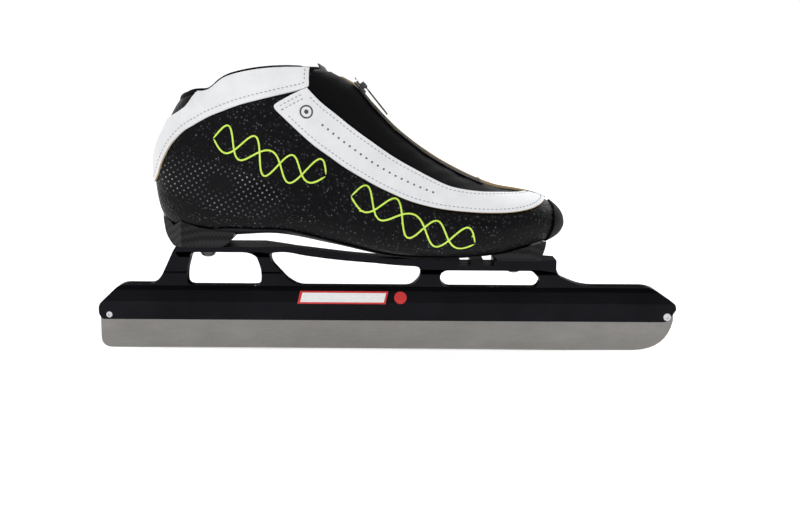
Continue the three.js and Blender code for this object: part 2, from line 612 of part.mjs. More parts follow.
// Side view [x, z], end view [y, z] and plan [x, y] of each block.
const HEEL_BLOCK = {
  side: [[-147.2, HEEL_PLATE.top + GAP, 2], [-112, HEEL_PLATE.top + GAP, 8], [-103.3, 84, 7], [-104, 97, 5],
    [-156.5, 99, 2], [-153.5, 83, 6]],
  end: mirrored([[-20, 70], [-27, 81], [-29.5, 110]]),
  plan: mirrored([[-28, -103, 6], [-28, -124, 12], [-22.5, -141, 12], [-8, -155.5, 8]])
    .map(([y, x]) => [x, y]),
  insertTop: 82.4,
};
const TOE_BLOCK = {
  side: [[77, TOE_PLATE.top + GAP, 1], [106.4, TOE_PLATE.top + GAP, 1], [109.8, 77, 2], [110.5, 86, 1],
    [72, 86, 1], [73, 71, 2]],
  end: mirrored([[-17, 60], [-22, 72], [-25, 90]]),
  plan: mirrored([[-23, 70], [-22, 98], [-14, 112.6]]).map(([y, x]) => [x, y]),
  insertTop: 72.2,
};

function mountBlock({ side, end, plan, insertTop }, x, boot) {
  const body = alongY(outline(side), -40, 40)
    .intersect(alongX(outline(end), x - 60, x + 60))
    .intersect(alongZ(outline(plan), 60, 110));
  const [boreR, boreTop] = [INSERT_R + GAP, insertTop + GAP];
  const bore = turned([[0, 60], [boreR, 60], [boreR, boreTop], [0, boreTop]], x, 0);
  return cut(body, boot, bore);
}

// Low domed screw with a hex socket, its head under the plate's washer.
function bolt(x, washerLow, top) {
  const seat = washerLow - GAP;
  const profile = [[0, seat - 3.2], [2.6, seat - 3.1], [4.4, seat - 2.2], [5.2, seat - 0.9], [5.2, seat],
    [BOLT_R, seat], [BOLT_R, top - 0.6], [BOLT_R - 0.6, top], [0, top]];
  const socket = turned([[0, seat - 5], [2, seat - 5], [2, seat - 1.4], [0, seat - 1.4]], x, 0, 6);
  return cut(turned(profile, x, 0), socket);
}

const washer = (x, high) => tubeZ(WASHER_R, BOLT_R + GAP, high - WASHER_T, high, x, 0, 28);
const insert = (x, low, high) => tubeZ(INSERT_R, BOLT_R + GAP, low, high, x, 0);

// ---- assembly ----
const paint = (color, roughness, metalness) =>
  new THREE.MeshStandardMaterial({ color, roughness, metalness });
const FINISH = {
  anodised: paint("#0b0c0f", 0.25, 0.6),
  steel: paint("#8c8a86", 0.35, 1),
  zinc: paint("#b9bcc0", 0.3, 1),
  carbon: paint("#1b1c1e", 0.35, 0.1),
  leather: paint("#17171a", 0.45, 0),
  white: paint("#f2f3f4", 0.5, 0),
  suede: paint("#202124", 0.8, 0),
  fabric: paint("#26272a", 0.9, 0),
  lace: paint("#3a3a3e", 0.85, 0),
};

const skate = new THREE.Group();
skate.name = "speed_skate";

function add(name, manifold, finish, parent = skate) {
  const mesh = new THREE.Mesh(geometryOf(manifold), FINISH[finish]);
  mesh.name = name;
  parent.add(mesh);
  return mesh;
}

const running_gear = new THREE.Group();
skate.add(running_gear);
add("frame", frame(), "anodised", running_gear);
add("blade", blade(), "steel", running_gear);
for (const pin of PINS) add(pin.name, bladePin(pin), "zinc", running_gear);

const boot = bootBulk();
for (const [name, plateAt, block] of [["heel", HEEL_PLATE, HEEL_BLOCK], ["toe", TOE_PLATE, TOE_BLOCK]]) {
  const x = plateAt.slotX;
  add(name + "_mount_block", mountBlock(block, x, boot), "carbon");
  add(name + "_insert", insert(x, plateAt.top + 2 * GAP, block.insertTop), "zinc");
  add(name + "_washer", washer(x, plateAt.washerTop), "zinc");
  add(name + "_bolt", bolt(x, plateAt.washerTop - WASHER_T, block.insertTop - 0.2), "zinc");
}

add("outsole_plate", outsole(), "carbon");
add("carbon_shell", carbonShell(), "carbon");
add("leather_upper", leather(), "leather");
add("facing", facing(), "white");
add("collar_band", collarBand(), "white");
add("toe_bumper", toeBumper(), "leather");
add("collar_padding", padding(), "fabric");
add("lining", lining(), "fabric");
add("insole", insole(), "suede");
add("tongue", tongue(), "suede");
add("lace", lace(), "lace");
add("lace_cover", laceCover(), "leather");
add("zip_tape", zipTape(), "fabric");
add("zip_top_stop", zipStop(ZIP.top - 2), "zinc");
add("zip_bottom_stop", zipStop(ZIP.bottom), "zinc");
add("zip_slider", zipSlider(), "zinc");
const pull = add("zip_pull", zipPull(), "zinc");
const [pullX, pullZ] = onZip(ZIP.top, -PULL.pivot);
pull.position.set(pullX, 0, pullZ);
pull.rotation.y = THREE.MathUtils.degToRad(90 - (ZIP.top - 180) + PULL.tilt);

export default skate;
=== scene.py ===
"""Looks of a fixed-blade speed skate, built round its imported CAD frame. Wall places and sizes are in mm."""
import math

import bmesh
import bpy
import numpy as np
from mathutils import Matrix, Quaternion, Vector


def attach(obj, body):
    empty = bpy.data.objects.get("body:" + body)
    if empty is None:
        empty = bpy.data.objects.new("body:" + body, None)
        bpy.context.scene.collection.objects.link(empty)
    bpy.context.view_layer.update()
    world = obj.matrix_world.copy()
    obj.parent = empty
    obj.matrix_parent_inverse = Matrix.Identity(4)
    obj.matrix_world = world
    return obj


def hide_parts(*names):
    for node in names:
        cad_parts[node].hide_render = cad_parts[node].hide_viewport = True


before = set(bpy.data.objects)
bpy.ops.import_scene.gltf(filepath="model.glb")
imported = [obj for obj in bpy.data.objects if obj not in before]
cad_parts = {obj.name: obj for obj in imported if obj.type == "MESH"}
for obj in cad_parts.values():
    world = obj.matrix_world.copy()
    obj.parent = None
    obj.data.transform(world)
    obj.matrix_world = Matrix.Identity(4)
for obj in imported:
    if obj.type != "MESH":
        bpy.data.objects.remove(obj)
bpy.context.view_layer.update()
MM = 0.001

# ---- boot surface, in millimetres, on the same sections as the CAD boot ----
ZIP_CENTRE, ZIP_R, ZIP_TOP, ZIP_LOW = np.array([135.2, 301.1]), 194.5, 217.0, 248


def on_zip(degrees, depth=0.0):
    """Side-view point on the zip's arc, or a depth below it."""
    a = math.radians(degrees)
    return tuple(ZIP_CENTRE + (ZIP_R + depth) * np.array([math.cos(a), math.sin(a)]))


# T: top (x, z), B: bottom (x, z), c: sideways centre, w: half width, f: place of the greatest width,
# nt and nb: squareness above and below it, bow: how far the section's line bends up
STATIONS = [
    ((-54, 210), (-128, 190), 0, 35, 0.5, 2.1, 2.1, 9),
    ((-41, 197), (-142.5, 176.5), 0, 36, 0.5, 2.0, 2.1, 8.5),
    ((-30, 191), (-152.5, 159.5), 0, 36, 0.5, 1.9, 2.1, 5),
    (on_zip(217), (-161, 139), 0, 36, 0.5, 1.9, 2.2, 2),
    (on_zip(222), (-160.8, 116), 0, 36, 0.5, 1.9, 2.3, 0),
    (on_zip(227), (-155.5, 96), 0, 36, 0.5, 1.9, 2.4, 0),
    (on_zip(232), (-141, 85.5), 0, 37, 0.5, 1.95, 2.6, 0),
    (on_zip(237), (-111, 84.5), 1, 39, 0.52, 2, 2.8, 0),
    (on_zip(242), (-76, 86), 1.5, 42, 0.55, 2, 3, 0),
    (on_zip(247), (-38, 79.5), 2, 45, 0.57, 2, 3.2, 0),
    (on_zip(252), (0, 71.8), 3, 47.5, 0.58, 2, 3.4, 0),
    ((91, 113.2), (38, 69.8), 4.5, 48, 0.58, 2.1, 3.4, 0),
    ((101.5, 111.2), (70, 71.5), 6, 45, 0.58, 2.2, 3.2, 0),
    ((110.5, 107.8), (93, 76), 8, 39, 0.57, 2.2, 3, 0),
    ((117.3, 103), (108, 79.5), 9, 30.5, 0.55, 2.2, 2.6, 0),
    ((121.6, 97.8), (117.5, 83.2), 10, 19, 0.5, 2.1, 2.2, 0),
    ((123.4, 92), (122.6, 88), 10, 4, 0.5, 2, 2, 0),
]
TIP = len(STATIONS) - 1
TABLE = np.array([[*T, *B, *rest] for T, B, *rest in STATIONS], float)
CENTRE, HALF_WIDTH, WIDEST, NT, NB, BOW = range(4, 10)  # columns of TABLE after T and B
OUTLINE_STEPS, PER_STATION, SHARE_STEPS = 96, 20, 200
DIP_AT, DIP_WIDTH, DIP_DEPTH = 0.765, 0.085, 0.5  # where the collar line dips before the heel


def stations_at(t):
    """Every section value at station positions t, as a (..., 10) array."""
    t = np.clip(np.asarray(t, float), 0, TIP)
    i = np.clip(np.floor(t).astype(int), 0, TIP - 1)
    s = (t - i)[..., None]
    a, b, c, d = (TABLE[np.clip(i + k, 0, TIP)] for k in (-1, 0, 1, 2))
    return b + 0.5 * s * (c - a + s * (2 * a - 5 * b + 4 * c - d + s * (3 * (b - c) + d - a)))


def round_off(s, angle):
    """How far the outline has gone from T to B and how wide it is, both 0 to 1."""
    lower = angle > math.pi / 2
    n = 2 / np.where(lower, s[..., NB], s[..., NT])
    c = np.abs(np.cos(angle)) ** n
    f = s[..., WIDEST]
    return np.where(lower, f + (1 - f) * c, f * (1 - c)), np.abs(np.sin(angle)) ** n


def angle_table():
    """Angles at even shares of the outline's length, for a fine run of stations."""
    t = np.linspace(0, TIP, PER_STATION * TIP + 1)
    s = stations_at(t)[:, None, :]
    angles = np.linspace(0, math.pi, OUTLINE_STEPS + 1)[None, :]
    along, width = round_off(s, angles)
    reach = np.hypot(s[..., 2] - s[..., 0], s[..., 3] - s[..., 1])
    step = np.hypot(np.diff(along * reach), np.diff(width * s[..., HALF_WIDTH]))
    lengths = np.concatenate([np.zeros((len(t), 1)), np.cumsum(step, axis=1)], axis=1)
    shares = np.linspace(0, 1, SHARE_STEPS + 1)
    return np.array([np.interp(shares * row[-1], row, angles[0]) for row in lengths])


ANGLES = angle_table()


def angle_at(t, share):
    """Outline angles at stations and shares of the outline's length, blended within ANGLES."""
    ft = np.clip(t, 0, TIP) * PER_STATION
    i = np.minimum(ft.astype(int), len(ANGLES) - 2)
    kt = ft - i
    fv = np.clip(share, 0, 1) * SHARE_STEPS
    j = np.minimum(fv.astype(int), SHARE_STEPS - 1)
    kv = fv - j
    low = ANGLES[i, j] * (1 - kt) + ANGLES[i + 1, j] * kt
    high = ANGLES[i, j + 1] * (1 - kt) + ANGLES[i + 1, j + 1] * kt
    return low * (1 - kv) + high * kv


def inward(t, column, toward):
    """Side-view unit normals of the line through the T points (column 0) or B points (column 2)."""
    step = 0.02
    a = stations_at(np.maximum(t - step, 0))[..., column:column + 2]
    b = stations_at(np.minimum(t + step, TIP))[..., column:column + 2]
    n = np.stack([b[..., 1] - a[..., 1], a[..., 0] - b[..., 0]], axis=-1)
    n /= np.linalg.norm(n, axis=-1, keepdims=True)
    return n * np.where((n * toward).sum(-1) < 0, -1, 1)[..., None]


def wall(t, v, depth):
    """Points of the boot wall in mm: t along the stations, v from the top line (0) by the lateral side to
    the bottom line (1) and on by the medial side to 2 (or 0 to -1), depth below the leather's face."""
    t, v, depth = np.broadcast_arrays(np.asarray(t, float), np.asarray(v, float), np.asarray(depth, float))
    s = stations_at(t)
    turn = np.where(v > 1, v - 2, v)
    across = s[..., 2:4] - s[..., 0:2]
    T = s[..., 0:2] + inward(t, 0, across) * depth[..., None]
    B = s[..., 2:4] + inward(t, 2, -across) * depth[..., None]
    along, width = round_off(s, np.minimum(angle_at(t, np.abs(turn)), math.pi - 1e-9))
    line = B - T
    bend = -np.stack([-line[..., 1], line[..., 0]], axis=-1) / np.linalg.norm(line, axis=-1, keepdims=True)
    dip = DIP_DEPTH * np.exp(-((along - DIP_AT) / DIP_WIDTH) ** 2)
    p = T + line * along[..., None] + bend * (s[..., BOW] * (np.sin(math.pi * along) - dip))[..., None]
    y = s[..., CENTRE] - np.where(turn < 0, -1, 1) * width * np.maximum(s[..., HALF_WIDTH] - depth, 0.2)
    return np.stack([p[..., 0], y, p[..., 1]], axis=-1)


def wall_normal(t, v):
    """Outward unit normals of the wall's face."""
    dt = wall(t + 0.016, v, 0) - wall(t - 0.016, v, 0)
    dv = wall(t, v + 0.004, 0) - wall(t, v - 0.004, 0)
    n = np.cross(dt, dv)
    n /= np.linalg.norm(n, axis=-1, keepdims=True) + 1e-12
    outward = wall(t, v, -1.0) - wall(t, v, 0)
    return n * np.where((n * outward).sum(-1) < 0, -1, 1)[..., None]


# ---- edges of the overlays, seen from the side, (x, z) in mm ----
FACING_TOP = np.array([(-60, 190), (-46, 175), (-35, 166), (-24, 157), (-13, 149), (3, 138), (20, 128.5),
                       (31, 123), (41, 118.6), (52, 115.9), (63, 114.2), (80, 113), (100, 112.4), (125, 113)])
FACING_LOW = np.array([(-84, 179), (-71.5, 167), (-60, 156), (-50, 147), (-39, 139), (-29, 132), (-18, 125.5),
                       (-7, 119.5), (3, 115), (14, 110.5), (25, 107.3), (36, 105), (52, 103), (70, 102),
                       (90, 102.8), (100, 104.6), (108, 107.5), (116, 112)])
BAND_LOW = np.array([(-170, 121), (-158, 122), (-155.6, 126.5), (-154, 131), (-151, 137), (-147, 144),
                     (-141, 151), (-136, 155.5), (-130, 159), (-120, 164.5), (-109, 169), (-98, 173),
                     (-87, 176), (-77, 178.5), (-66, 181), (-50, 184.8)])
BAND_TOP = np.array([(-170, 152), (-158, 158), (-146, 164.5), (-139.5, 168), (-134, 172), (-129.5, 178),
                     (-120, 190), (-100, 220)])
BAND_FRONT = -53.0
THROAT_END, THROAT_MEDIAL = 12.35, -0.062
SEAM = THROAT_END - 0.01  # rows of a sheet past this station are closed rings
OVERLAY = (-1.6, -0.3)  # depths of the outer and inner faces of leather laid over the upper


def smooth_line(points, x):
    """Height of a side-view curve at x: a smooth line through its points."""
    i = np.clip(np.searchsorted(points[:, 0], x) - 1, 0, len(points) - 2)
    slopes = np.gradient(points[:, 1], points[:, 0])
    x0, x1 = points[i, 0], points[i + 1, 0]
    h = x1 - x0
    s = np.clip((x - x0) / h, 0, 1)
    return ((1 + 2 * s) * (1 - s) ** 2 * points[i, 1] + s * (1 - s) ** 2 * h * slopes[i]
            + s * s * (3 - 2 * s) * points[i + 1, 1] + s * s * (s - 1) * h * slopes[i + 1])


def first_under(path, curve, low, high, steps=240):
    """Where path(k) first drops under a side-view curve, for k from low to high."""
    k = np.linspace(low, high, steps + 1)
    p = path(k)
    gap = p[:, 2] - smooth_line(curve, p[:, 0])
    under = np.nonzero(gap < 0)[0]
    if len(under) == 0:
        return high
    i = under[0]
    return low if i == 0 else k[i - 1] + (k[i] - k[i - 1]) * gap[i - 1] / (gap[i - 1] - gap[i])


def over_stations(function, low, high, count=160):
    """A function of the station, worked out on a fine run of stations and read between them."""
    t = np.linspace(low, high, count)
    values = np.array([function(a) for a in t])
    return lambda at: np.interp(at, t, values)


def front_share(t):
    """Girth share at which a section passes the band's front end."""
    v = np.linspace(0.02, 0.5, 240)
    x = wall(t, v, 0)[:, 0]
    return float(np.interp(-BAND_FRONT, -x, v))


facing_top_at = over_stations(lambda t: first_under(lambda v: wall(t, v, 0), FACING_TOP, 0.02, 0.6), 2.2, 13)
front_at = over_stations(front_share, 0.5, 2.6, 60)
low_at = {side: over_stations(lambda t, side=side: first_under(
    lambda v: wall(t, side * v, 0), FACING_LOW, 0.0, 0.8), 2, 14.6, 260) for side in (1, -1)}


def closing(t):
    """1 along the throat, falling to 0 where it ends."""
    return np.sqrt(np.clip((THROAT_END - t) / 0.8, 0, 1))


def throat_medial(t):
    """Girth share of the throat's medial edge."""
    return THROAT_MEDIAL * closing(t)


def throat_lateral(t):
    """Girth share of the throat's lateral edge: down beside the band, then along the top of the facing."""
    t = np.asarray(t, float)
    blend = np.clip((t - 1.6) / 0.6, 0, 1)
    blend = blend * blend * (3 - 2 * blend)
    upper = front_at(t) * (1 - blend) + facing_top_at(np.maximum(t, 2.2)) * blend
    return upper * closing(t)


# ---- mesh building ----
def add_object(name, verts, faces, materials, indices=None, smooth=True):
    """A mesh object from points in mm."""
    mesh = bpy.data.meshes.new(name)
    mesh.from_pydata([tuple(p) for p in np.asarray(verts, float) * MM], [], faces)
    for m in materials:
        mesh.materials.append(m)
    if indices is not None:
        mesh.polygons.foreach_set("material_index", np.asarray(indices, np.int32))
    mesh.polygons.foreach_set("use_smooth", np.full(len(mesh.polygons), smooth))
    mesh.validate()
    obj = bpy.data.objects.new(name, mesh)
    bpy.context.scene.collection.objects.link(obj)
    return obj


def tidy_mesh(obj, merge=1e-7, bevel=0.0):
    """Merges doubles, turns faces out, and bevels the edges where two materials meet."""
    bm = bmesh.new()
    bm.from_mesh(obj.data)
    bmesh.ops.remove_doubles(bm, verts=bm.verts, dist=merge)
    bmesh.ops.dissolve_degenerate(bm, dist=merge, edges=bm.edges)
    bmesh.ops.recalc_face_normals(bm, faces=bm.faces)
    if bevel:
        rim = [e for e in bm.edges if len(e.link_faces) == 2
               and e.link_faces[0].material_index != e.link_faces[1].material_index]
        bmesh.ops.bevel(bm, geom=rim, offset=bevel * MM, segments=2, profile=0.6, affect="EDGES",
                        clamp_overlap=True, material=0)
    bm.to_mesh(obj.data)
    bm.free()
    return obj


def sheet(name, at, rows, columns, outer, inner, materials, tip=False, seam=99.0, bevel=0.0):
    """A closed sheet of the wall: at(i, j) gives stations and girth shares on 0..1 grids, and the two
    faces lie at two depths. Its cut edges take the second material. Rows past the station seam are full
    rings."""
    i, j = np.meshgrid(np.linspace(0, 1, rows + 1), np.linspace(0, 1, columns + 1), indexing="ij")
    t, v = at(i, j)
    depths = [d(t, v, i, j) if callable(d) else d for d in (outer, inner)]
    verts = np.concatenate([wall(t, v, d).reshape(-1, 3) for d in depths])
    side, per = (rows + 1) * (columns + 1), columns + 1
    faces, kinds = [], []
    for r in range(rows):
        for c in range(columns):
            a = r * per + c
            faces += [(a, a + 1, a + per + 1, a + per),
                      (side + a, side + a + per, side + a + per + 1, side + a + 1)]
            kinds += [0, 0]
    ends = [0] if tip else [0, rows]
    for c in range(columns):
        for r in ends:
            a = r * per + c
            faces.append((a, a + 1, side + a + 1, side + a))
            kinds.append(1)
    for r in range(rows):
        for c in (0, columns) if t[r, 0] < seam else ():
            a = r * per + c
            faces.append((a, a + per, side + a + per, side + a))
            kinds.append(1)
    if tip:
        last = rows * per
        for face in (0, side):
            hub = len(verts)
            verts = np.vstack([verts, verts[face + last:face + last + per].mean(0)])
            faces += [(face + last + c, face + last + c + 1, hub) for c in range(columns)]
            kinds += [0] * columns
    obj = add_object(name, verts, faces, materials, kinds)
    return tidy_mesh(obj, merge=2e-6, bevel=bevel)


def loft(rings):
    """Rings of equally many points joined into a closed body, as (verts, faces)."""
    count, around = len(rings), len(rings[0])
    faces = [(k * around + a, k * around + (a + 1) % around, (k + 1) * around + (a + 1) % around,
              (k + 1) * around + a) for k in range(count - 1) for a in range(around)]
    faces += [tuple(range(around - 1, -1, -1)), tuple((count - 1) * around + a for a in range(around))]
    return [p for ring in rings for p in ring], faces


# ---- materials ----
def material(name, colour, roughness, metallic=0.0, **sockets):
    m = bpy.data.materials.new(name)
    m.use_nodes = True
    bsdf = m.node_tree.nodes["Principled BSDF"]
    bsdf.inputs["Base Color"].default_value = (*colour, 1)
    bsdf.inputs["Roughness"].default_value = roughness
    bsdf.inputs["Metallic"].default_value = metallic
    for key, value in sockets.items():
        bsdf.inputs[key.replace("_", " ")].default_value = value
    return m, m.node_tree, bsdf


def node(tree, kind, **values):
    n = tree.nodes.new(kind)
    for key, value in values.items():
        if hasattr(n, key):
            setattr(n, key, value)
        else:
            n.inputs[key.replace("_", " ")].default_value = value
    return n


def math_node(tree, operation, a, b=None, clamp=False):
    n = tree.nodes.new("ShaderNodeMath")
    n.operation = operation
    n.use_clamp = clamp
    for socket, value in zip(n.inputs, (a, b)):
        if isinstance(value, bpy.types.NodeSocket):
            tree.links.new(value, socket)
        elif value is not None:
            socket.default_value = value
    return n.outputs[0]


def times(tree, a, b):
    return math_node(tree, "MULTIPLY", a, b)


def plus(tree, a, b, clamp=False):
    return math_node(tree, "ADD", a, b, clamp)


def object_point(tree, scale=(1, 1, 1), turn=(0, 0, 0)):
    coords = tree.nodes.new("ShaderNodeTexCoord")
    mapping = tree.nodes.new("ShaderNodeMapping")
    mapping.inputs["Scale"].default_value = scale
    mapping.inputs["Rotation"].default_value = turn
    tree.links.new(coords.outputs["Object"], mapping.inputs["Vector"])
    return mapping.outputs["Vector"]


def axes_of(tree, vector):
    n = tree.nodes.new("ShaderNodeSeparateXYZ")
    tree.links.new(vector, n.inputs[0])
    return n.outputs


def noise(tree, vector, scale, detail=4.0, roughness=0.5):
    n = node(tree, "ShaderNodeTexNoise", Scale=scale, Detail=detail, Roughness=roughness)
    tree.links.new(vector, n.inputs["Vector"])
    return n.outputs["Fac"]


def voronoi(tree, vector, scale, feature="F1"):
    n = node(tree, "ShaderNodeTexVoronoi", feature=feature, Scale=scale)
    tree.links.new(vector, n.inputs["Vector"])
    return n.outputs["Distance"]


def spread(tree, value, low, high, to_low=0.0, to_high=1.0):
    n = node(tree, "ShaderNodeMapRange", From_Min=low, From_Max=high, To_Min=to_low, To_Max=to_high)
    tree.links.new(value, n.inputs["Value"])
    return n.outputs["Result"]


MIX_SOCKETS = {"FLOAT": (2, 0), "RGBA": (6, 2)}  # first value input and the output of a Mix node, by kind


def mix(tree, kind, factor, low, high):
    first, out = MIX_SOCKETS[kind]
    n = node(tree, "ShaderNodeMix", data_type=kind)
    tree.links.new(factor, n.inputs[0])
    for socket, value in zip(n.inputs[first:first + 2], (low, high)):
        if isinstance(value, bpy.types.NodeSocket):
            tree.links.new(value, socket)
        else:
            socket.default_value = value
    return n.outputs[out]


def colour_between(tree, factor, low, high):
    return mix(tree, "RGBA", factor, (*low, 1), (*high, 1))


def bump(tree, bsdf, height, strength, distance):
    n = node(tree, "ShaderNodeBump", Strength=strength, Distance=distance)
    tree.links.new(height, n.inputs["Height"])
    tree.links.new(n.outputs["Normal"], bsdf.inputs["Normal"])


def link(tree, value, bsdf, socket):
    tree.links.new(value, bsdf.inputs[socket])


def pebbled_leather():
    """Black leather: pebbles whose tips carry painted glints, and a smooth heel patch with rows of dots, lit
    by painted highlights.
    """
    m, tree, bsdf = material("black_leather", (0.004, 0.004, 0.005), 0.4, Specular_IOR_Level=0.1)
    p = object_point(tree)
    pebble = spread(tree, voronoi(tree, p, 430), 0.0, 0.62, 1.0, 0.0)
    tips = spread(tree, pebble, 0.52, 0.86)
    patches = spread(tree, noise(tree, p, 120, 4, 0.7), 0.40, 0.66)
    # painted glints: lighter specks on the pebble tips where light would catch them, shown in random patches
    pebble_glints = times(tree, tips, patches)

    # the heel patch: an ellipse that leans forward and down
    patch_x, patch_z, half_long, half_high, dot_pitch = -0.138, 0.087, 0.048, 0.016, 0.005
    u, _, w = axes_of(tree, object_point(tree, turn=(0, math.radians(-14), 0)))
    du = math_node(tree, "DIVIDE", math_node(tree, "SUBTRACT", u, patch_x), half_long)
    dw = math_node(tree, "DIVIDE", math_node(tree, "SUBTRACT", w, patch_z), half_high)
    reach = math_node(tree, "SQRT", plus(tree, times(tree, du, du), times(tree, dw, dw)))
    heel = spread(tree, reach, 0.80, 1.10, 1.0, 0.0)
    waves = [math_node(tree, "SINE", times(tree, a, 2 * math.pi / dot_pitch)) for a in (u, w)]
    dots = spread(tree, times(tree, *waves), 0.62, 0.92)
    fade = spread(tree, noise(tree, p, 45, 3), 0.35, 0.65)
    shown = times(tree, times(tree, dots, fade), heel)
    plain = times(tree, pebble_glints, math_node(tree, "SUBTRACT", 1.0, heel))
    # painted highlight: the light specks on the pebble tips and on the heel dots are glints of light painted
    # into the colour; the pebbles and dots themselves are real bumps
    light = plus(tree, shown, times(tree, plain, 0.42), clamp=True)
    link(tree, colour_between(tree, light, (0.003, 0.003, 0.004), (0.34, 0.35, 0.37)), bsdf, "Base Color")

    grained = plus(tree, pebble, times(tree, noise(tree, p, 2200, 2), 0.3))
    bump(tree, bsdf, mix(tree, "FLOAT", heel, grained, times(tree, dots, 0.5)), 0.7, 0.0006)
    gloss = times(tree, heel, 0.14)
    link(tree, math_node(tree, "SUBTRACT", spread(tree, patches, 0, 1, 0.44, 0.36), gloss), bsdf, "Roughness")
    return m


def smooth_leather(name, low, high, roughness, grain=1500, strength=0.12, shine=0.5):
    m, tree, bsdf = material(name, high, roughness, Specular_IOR_Level=shine)
    p = object_point(tree)
    creases = voronoi(tree, p, grain * 0.6, "DISTANCE_TO_EDGE")
    tone = noise(tree, p, 60, 5, 0.6)
    link(tree, colour_between(tree, spread(tree, tone, 0.3, 0.75), low, high), bsdf, "Base Color")
    height = plus(tree, spread(tree, creases, 0, 0.3), times(tree, noise(tree, p, grain * 2, 2), 0.5))
    bump(tree, bsdf, height, strength, 0.0003)
    link(tree, spread(tree, tone, 0.3, 0.7, roughness - 0.06, roughness + 0.08), bsdf, "Roughness")
    return m


def raw_edge(name, forward, back):
    """Cut edge of white leather: tan fibres past two places along the boot, painted white between."""
    m, tree, bsdf = material(name, (0.50, 0.36, 0.17), 0.8)
    p = object_point(tree)
    fibres = noise(tree, p, 1800, 4, 0.7)
    tan = colour_between(tree, fibres, (0.30, 0.19, 0.08), (0.66, 0.52, 0.28))
    x, y, _ = axes_of(tree, p)
    medial = spread(tree, y, 0.003, 0.005)
    ends = (spread(tree, x, forward, forward + 0.03), spread(tree, x, back, back - 0.02))
    raw = math_node(tree, "MAXIMUM", math_node(tree, "MAXIMUM", *ends), medial, clamp=True)
    link(tree, mix(tree, "RGBA", raw, (0.78, 0.79, 0.80, 1), tan), bsdf, "Base Color")
    bump(tree, bsdf, fibres, 0.4, 0.0003)
    return m


def carbon_weave():
    """Twill carbon under clear resin."""
    m, tree, bsdf = material("carbon", (0.01, 0.01, 0.011), 0.45, Specular_IOR_Level=0.12, Coat_Weight=0.04,
                             Coat_Roughness=0.2)
    p = object_point(tree, turn=(0, math.radians(45), 0))
    x, y, z = axes_of(tree, p)
    pitch = 1 / 0.0019
    u = math_node(tree, "FLOOR", times(tree, plus(tree, x, y), pitch))
    w = math_node(tree, "FLOOR", times(tree, z, pitch))
    twill = math_node(tree, "LESS_THAN", math_node(tree, "FLOORED_MODULO", plus(tree, u, w), 4), 1.5)
    tows = noise(tree, p, 900, 2)
    shade = plus(tree, times(tree, twill, 0.75), times(tree, tows, 0.25))
    link(tree, colour_between(tree, shade, (0.004, 0.004, 0.0045), (0.016, 0.016, 0.018)), bsdf, "Base Color")
    link(tree, spread(tree, twill, 0, 1, 0.42, 0.30), bsdf, "Roughness")
    bump(tree, bsdf, shade, 0.18, 0.0003)
    return m


def anodised():
    """Black anodised aluminium with faint lengthwise drawing lines."""
    m, tree, bsdf = material("anodised", (0.02, 0.02, 0.022), 0.24, 1.0)
    lines = noise(tree, object_point(tree, scale=(0.02, 1, 1)), 2400, 3, 0.6)
    tone = noise(tree, object_point(tree), 30, 4)
    bsdf.inputs["Specular Tint"].default_value = (0.03, 0.03, 0.033, 1)
    link(tree, colour_between(tree, tone, (0.006, 0.006, 0.007), (0.014, 0.014, 0.017)), bsdf, "Base Color")
    link(tree, spread(tree, lines, 0.3, 0.7, 0.18, 0.30), bsdf, "Roughness")
    bump(tree, bsdf, lines, 0.06, 0.0002)
    return m


def ground_steel():
    """Blade steel: fine lengthwise grinding, a few faint handling marks, a ground bright lower edge."""
    m, tree, bsdf = material("blade_steel", (0.22, 0.21, 0.20), 0.34, 1.0, Anisotropic=0.5)
    strokes = noise(tree, object_point(tree, scale=(0.012, 1, 1)), 5200, 5, 0.7)
    clouds = noise(tree, object_point(tree, scale=(1, 1, 2.2)), 26, 5, 0.6)
    grain = noise(tree, object_point(tree, scale=(0.25, 1, 1)), 2600, 4, 0.75)
    tone = plus(tree, times(tree, strokes, 0.45),
                plus(tree, times(tree, clouds, 0.30), times(tree, grain, 0.25)))
    _, _, z = axes_of(tree, object_point(tree))
    ground = spread(tree, z, 0.0006, 0.0016, 0.45, 0.0)
    bright = plus(tree, spread(tree, tone, 0.32, 0.68), ground, clamp=True)
    link(tree, colour_between(tree, bright, (0.165, 0.158, 0.150), (0.30, 0.29, 0.275)), bsdf, "Base Color")
    link(tree, spread(tree, strokes, 0.3, 0.7, 0.30, 0.46), bsdf, "Roughness")
    bump(tree, bsdf, strokes, 0.10, 0.0001)
    return m


def plated(name, colour, roughness):
    m, tree, bsdf = material(name, colour, roughness, 1.0)
    p = object_point(tree)
    scuffs = noise(tree, p, 700, 4, 0.7)
    link(tree, spread(tree, scuffs, 0.3, 0.75, roughness - 0.06, roughness + 0.14), bsdf, "Roughness")
    link(tree, colour_between(tree, scuffs, tuple(0.75 * c for c in colour), colour), bsdf, "Base Color")
    bump(tree, bsdf, scuffs, 0.05, 0.0001)
    return m


def cloth(name, low, high, pitch, roughness=0.85, sheen=0.25):
    """Woven or knitted cloth of a given thread pitch in metres."""
    m, tree, bsdf = material(name, high, roughness, Sheen_Weight=sheen)
    p = object_point(tree)
    x, y, z = axes_of(tree, p)
    turn = 2 * math.pi / pitch
    warp = math_node(tree, "SINE", times(tree, plus(tree, x, y), turn))
    weft = math_node(tree, "SINE", times(tree, math_node(tree, "SUBTRACT", z, y), turn))
    knots = spread(tree, times(tree, warp, weft), -1, 1)
    fuzz = noise(tree, p, 1500, 3)
    height = plus(tree, knots, times(tree, fuzz, 0.5))
    link(tree, colour_between(tree, spread(tree, height, 0.1, 1.3), low, high), bsdf, "Base Color")
    bump(tree, bsdf, height, 0.5, 0.0004)
    return m


def paint(name, low, high, roughness=0.42):
    m, tree, bsdf = material(name, high, roughness)
    streaks = noise(tree, object_point(tree, scale=(0.3, 1, 1)), 900, 4, 0.6)
    link(tree, colour_between(tree, spread(tree, streaks, 0.25, 0.6), low, high), bsdf, "Base Color")
    bump(tree, bsdf, streaks, 0.15, 0.0001)
    return m


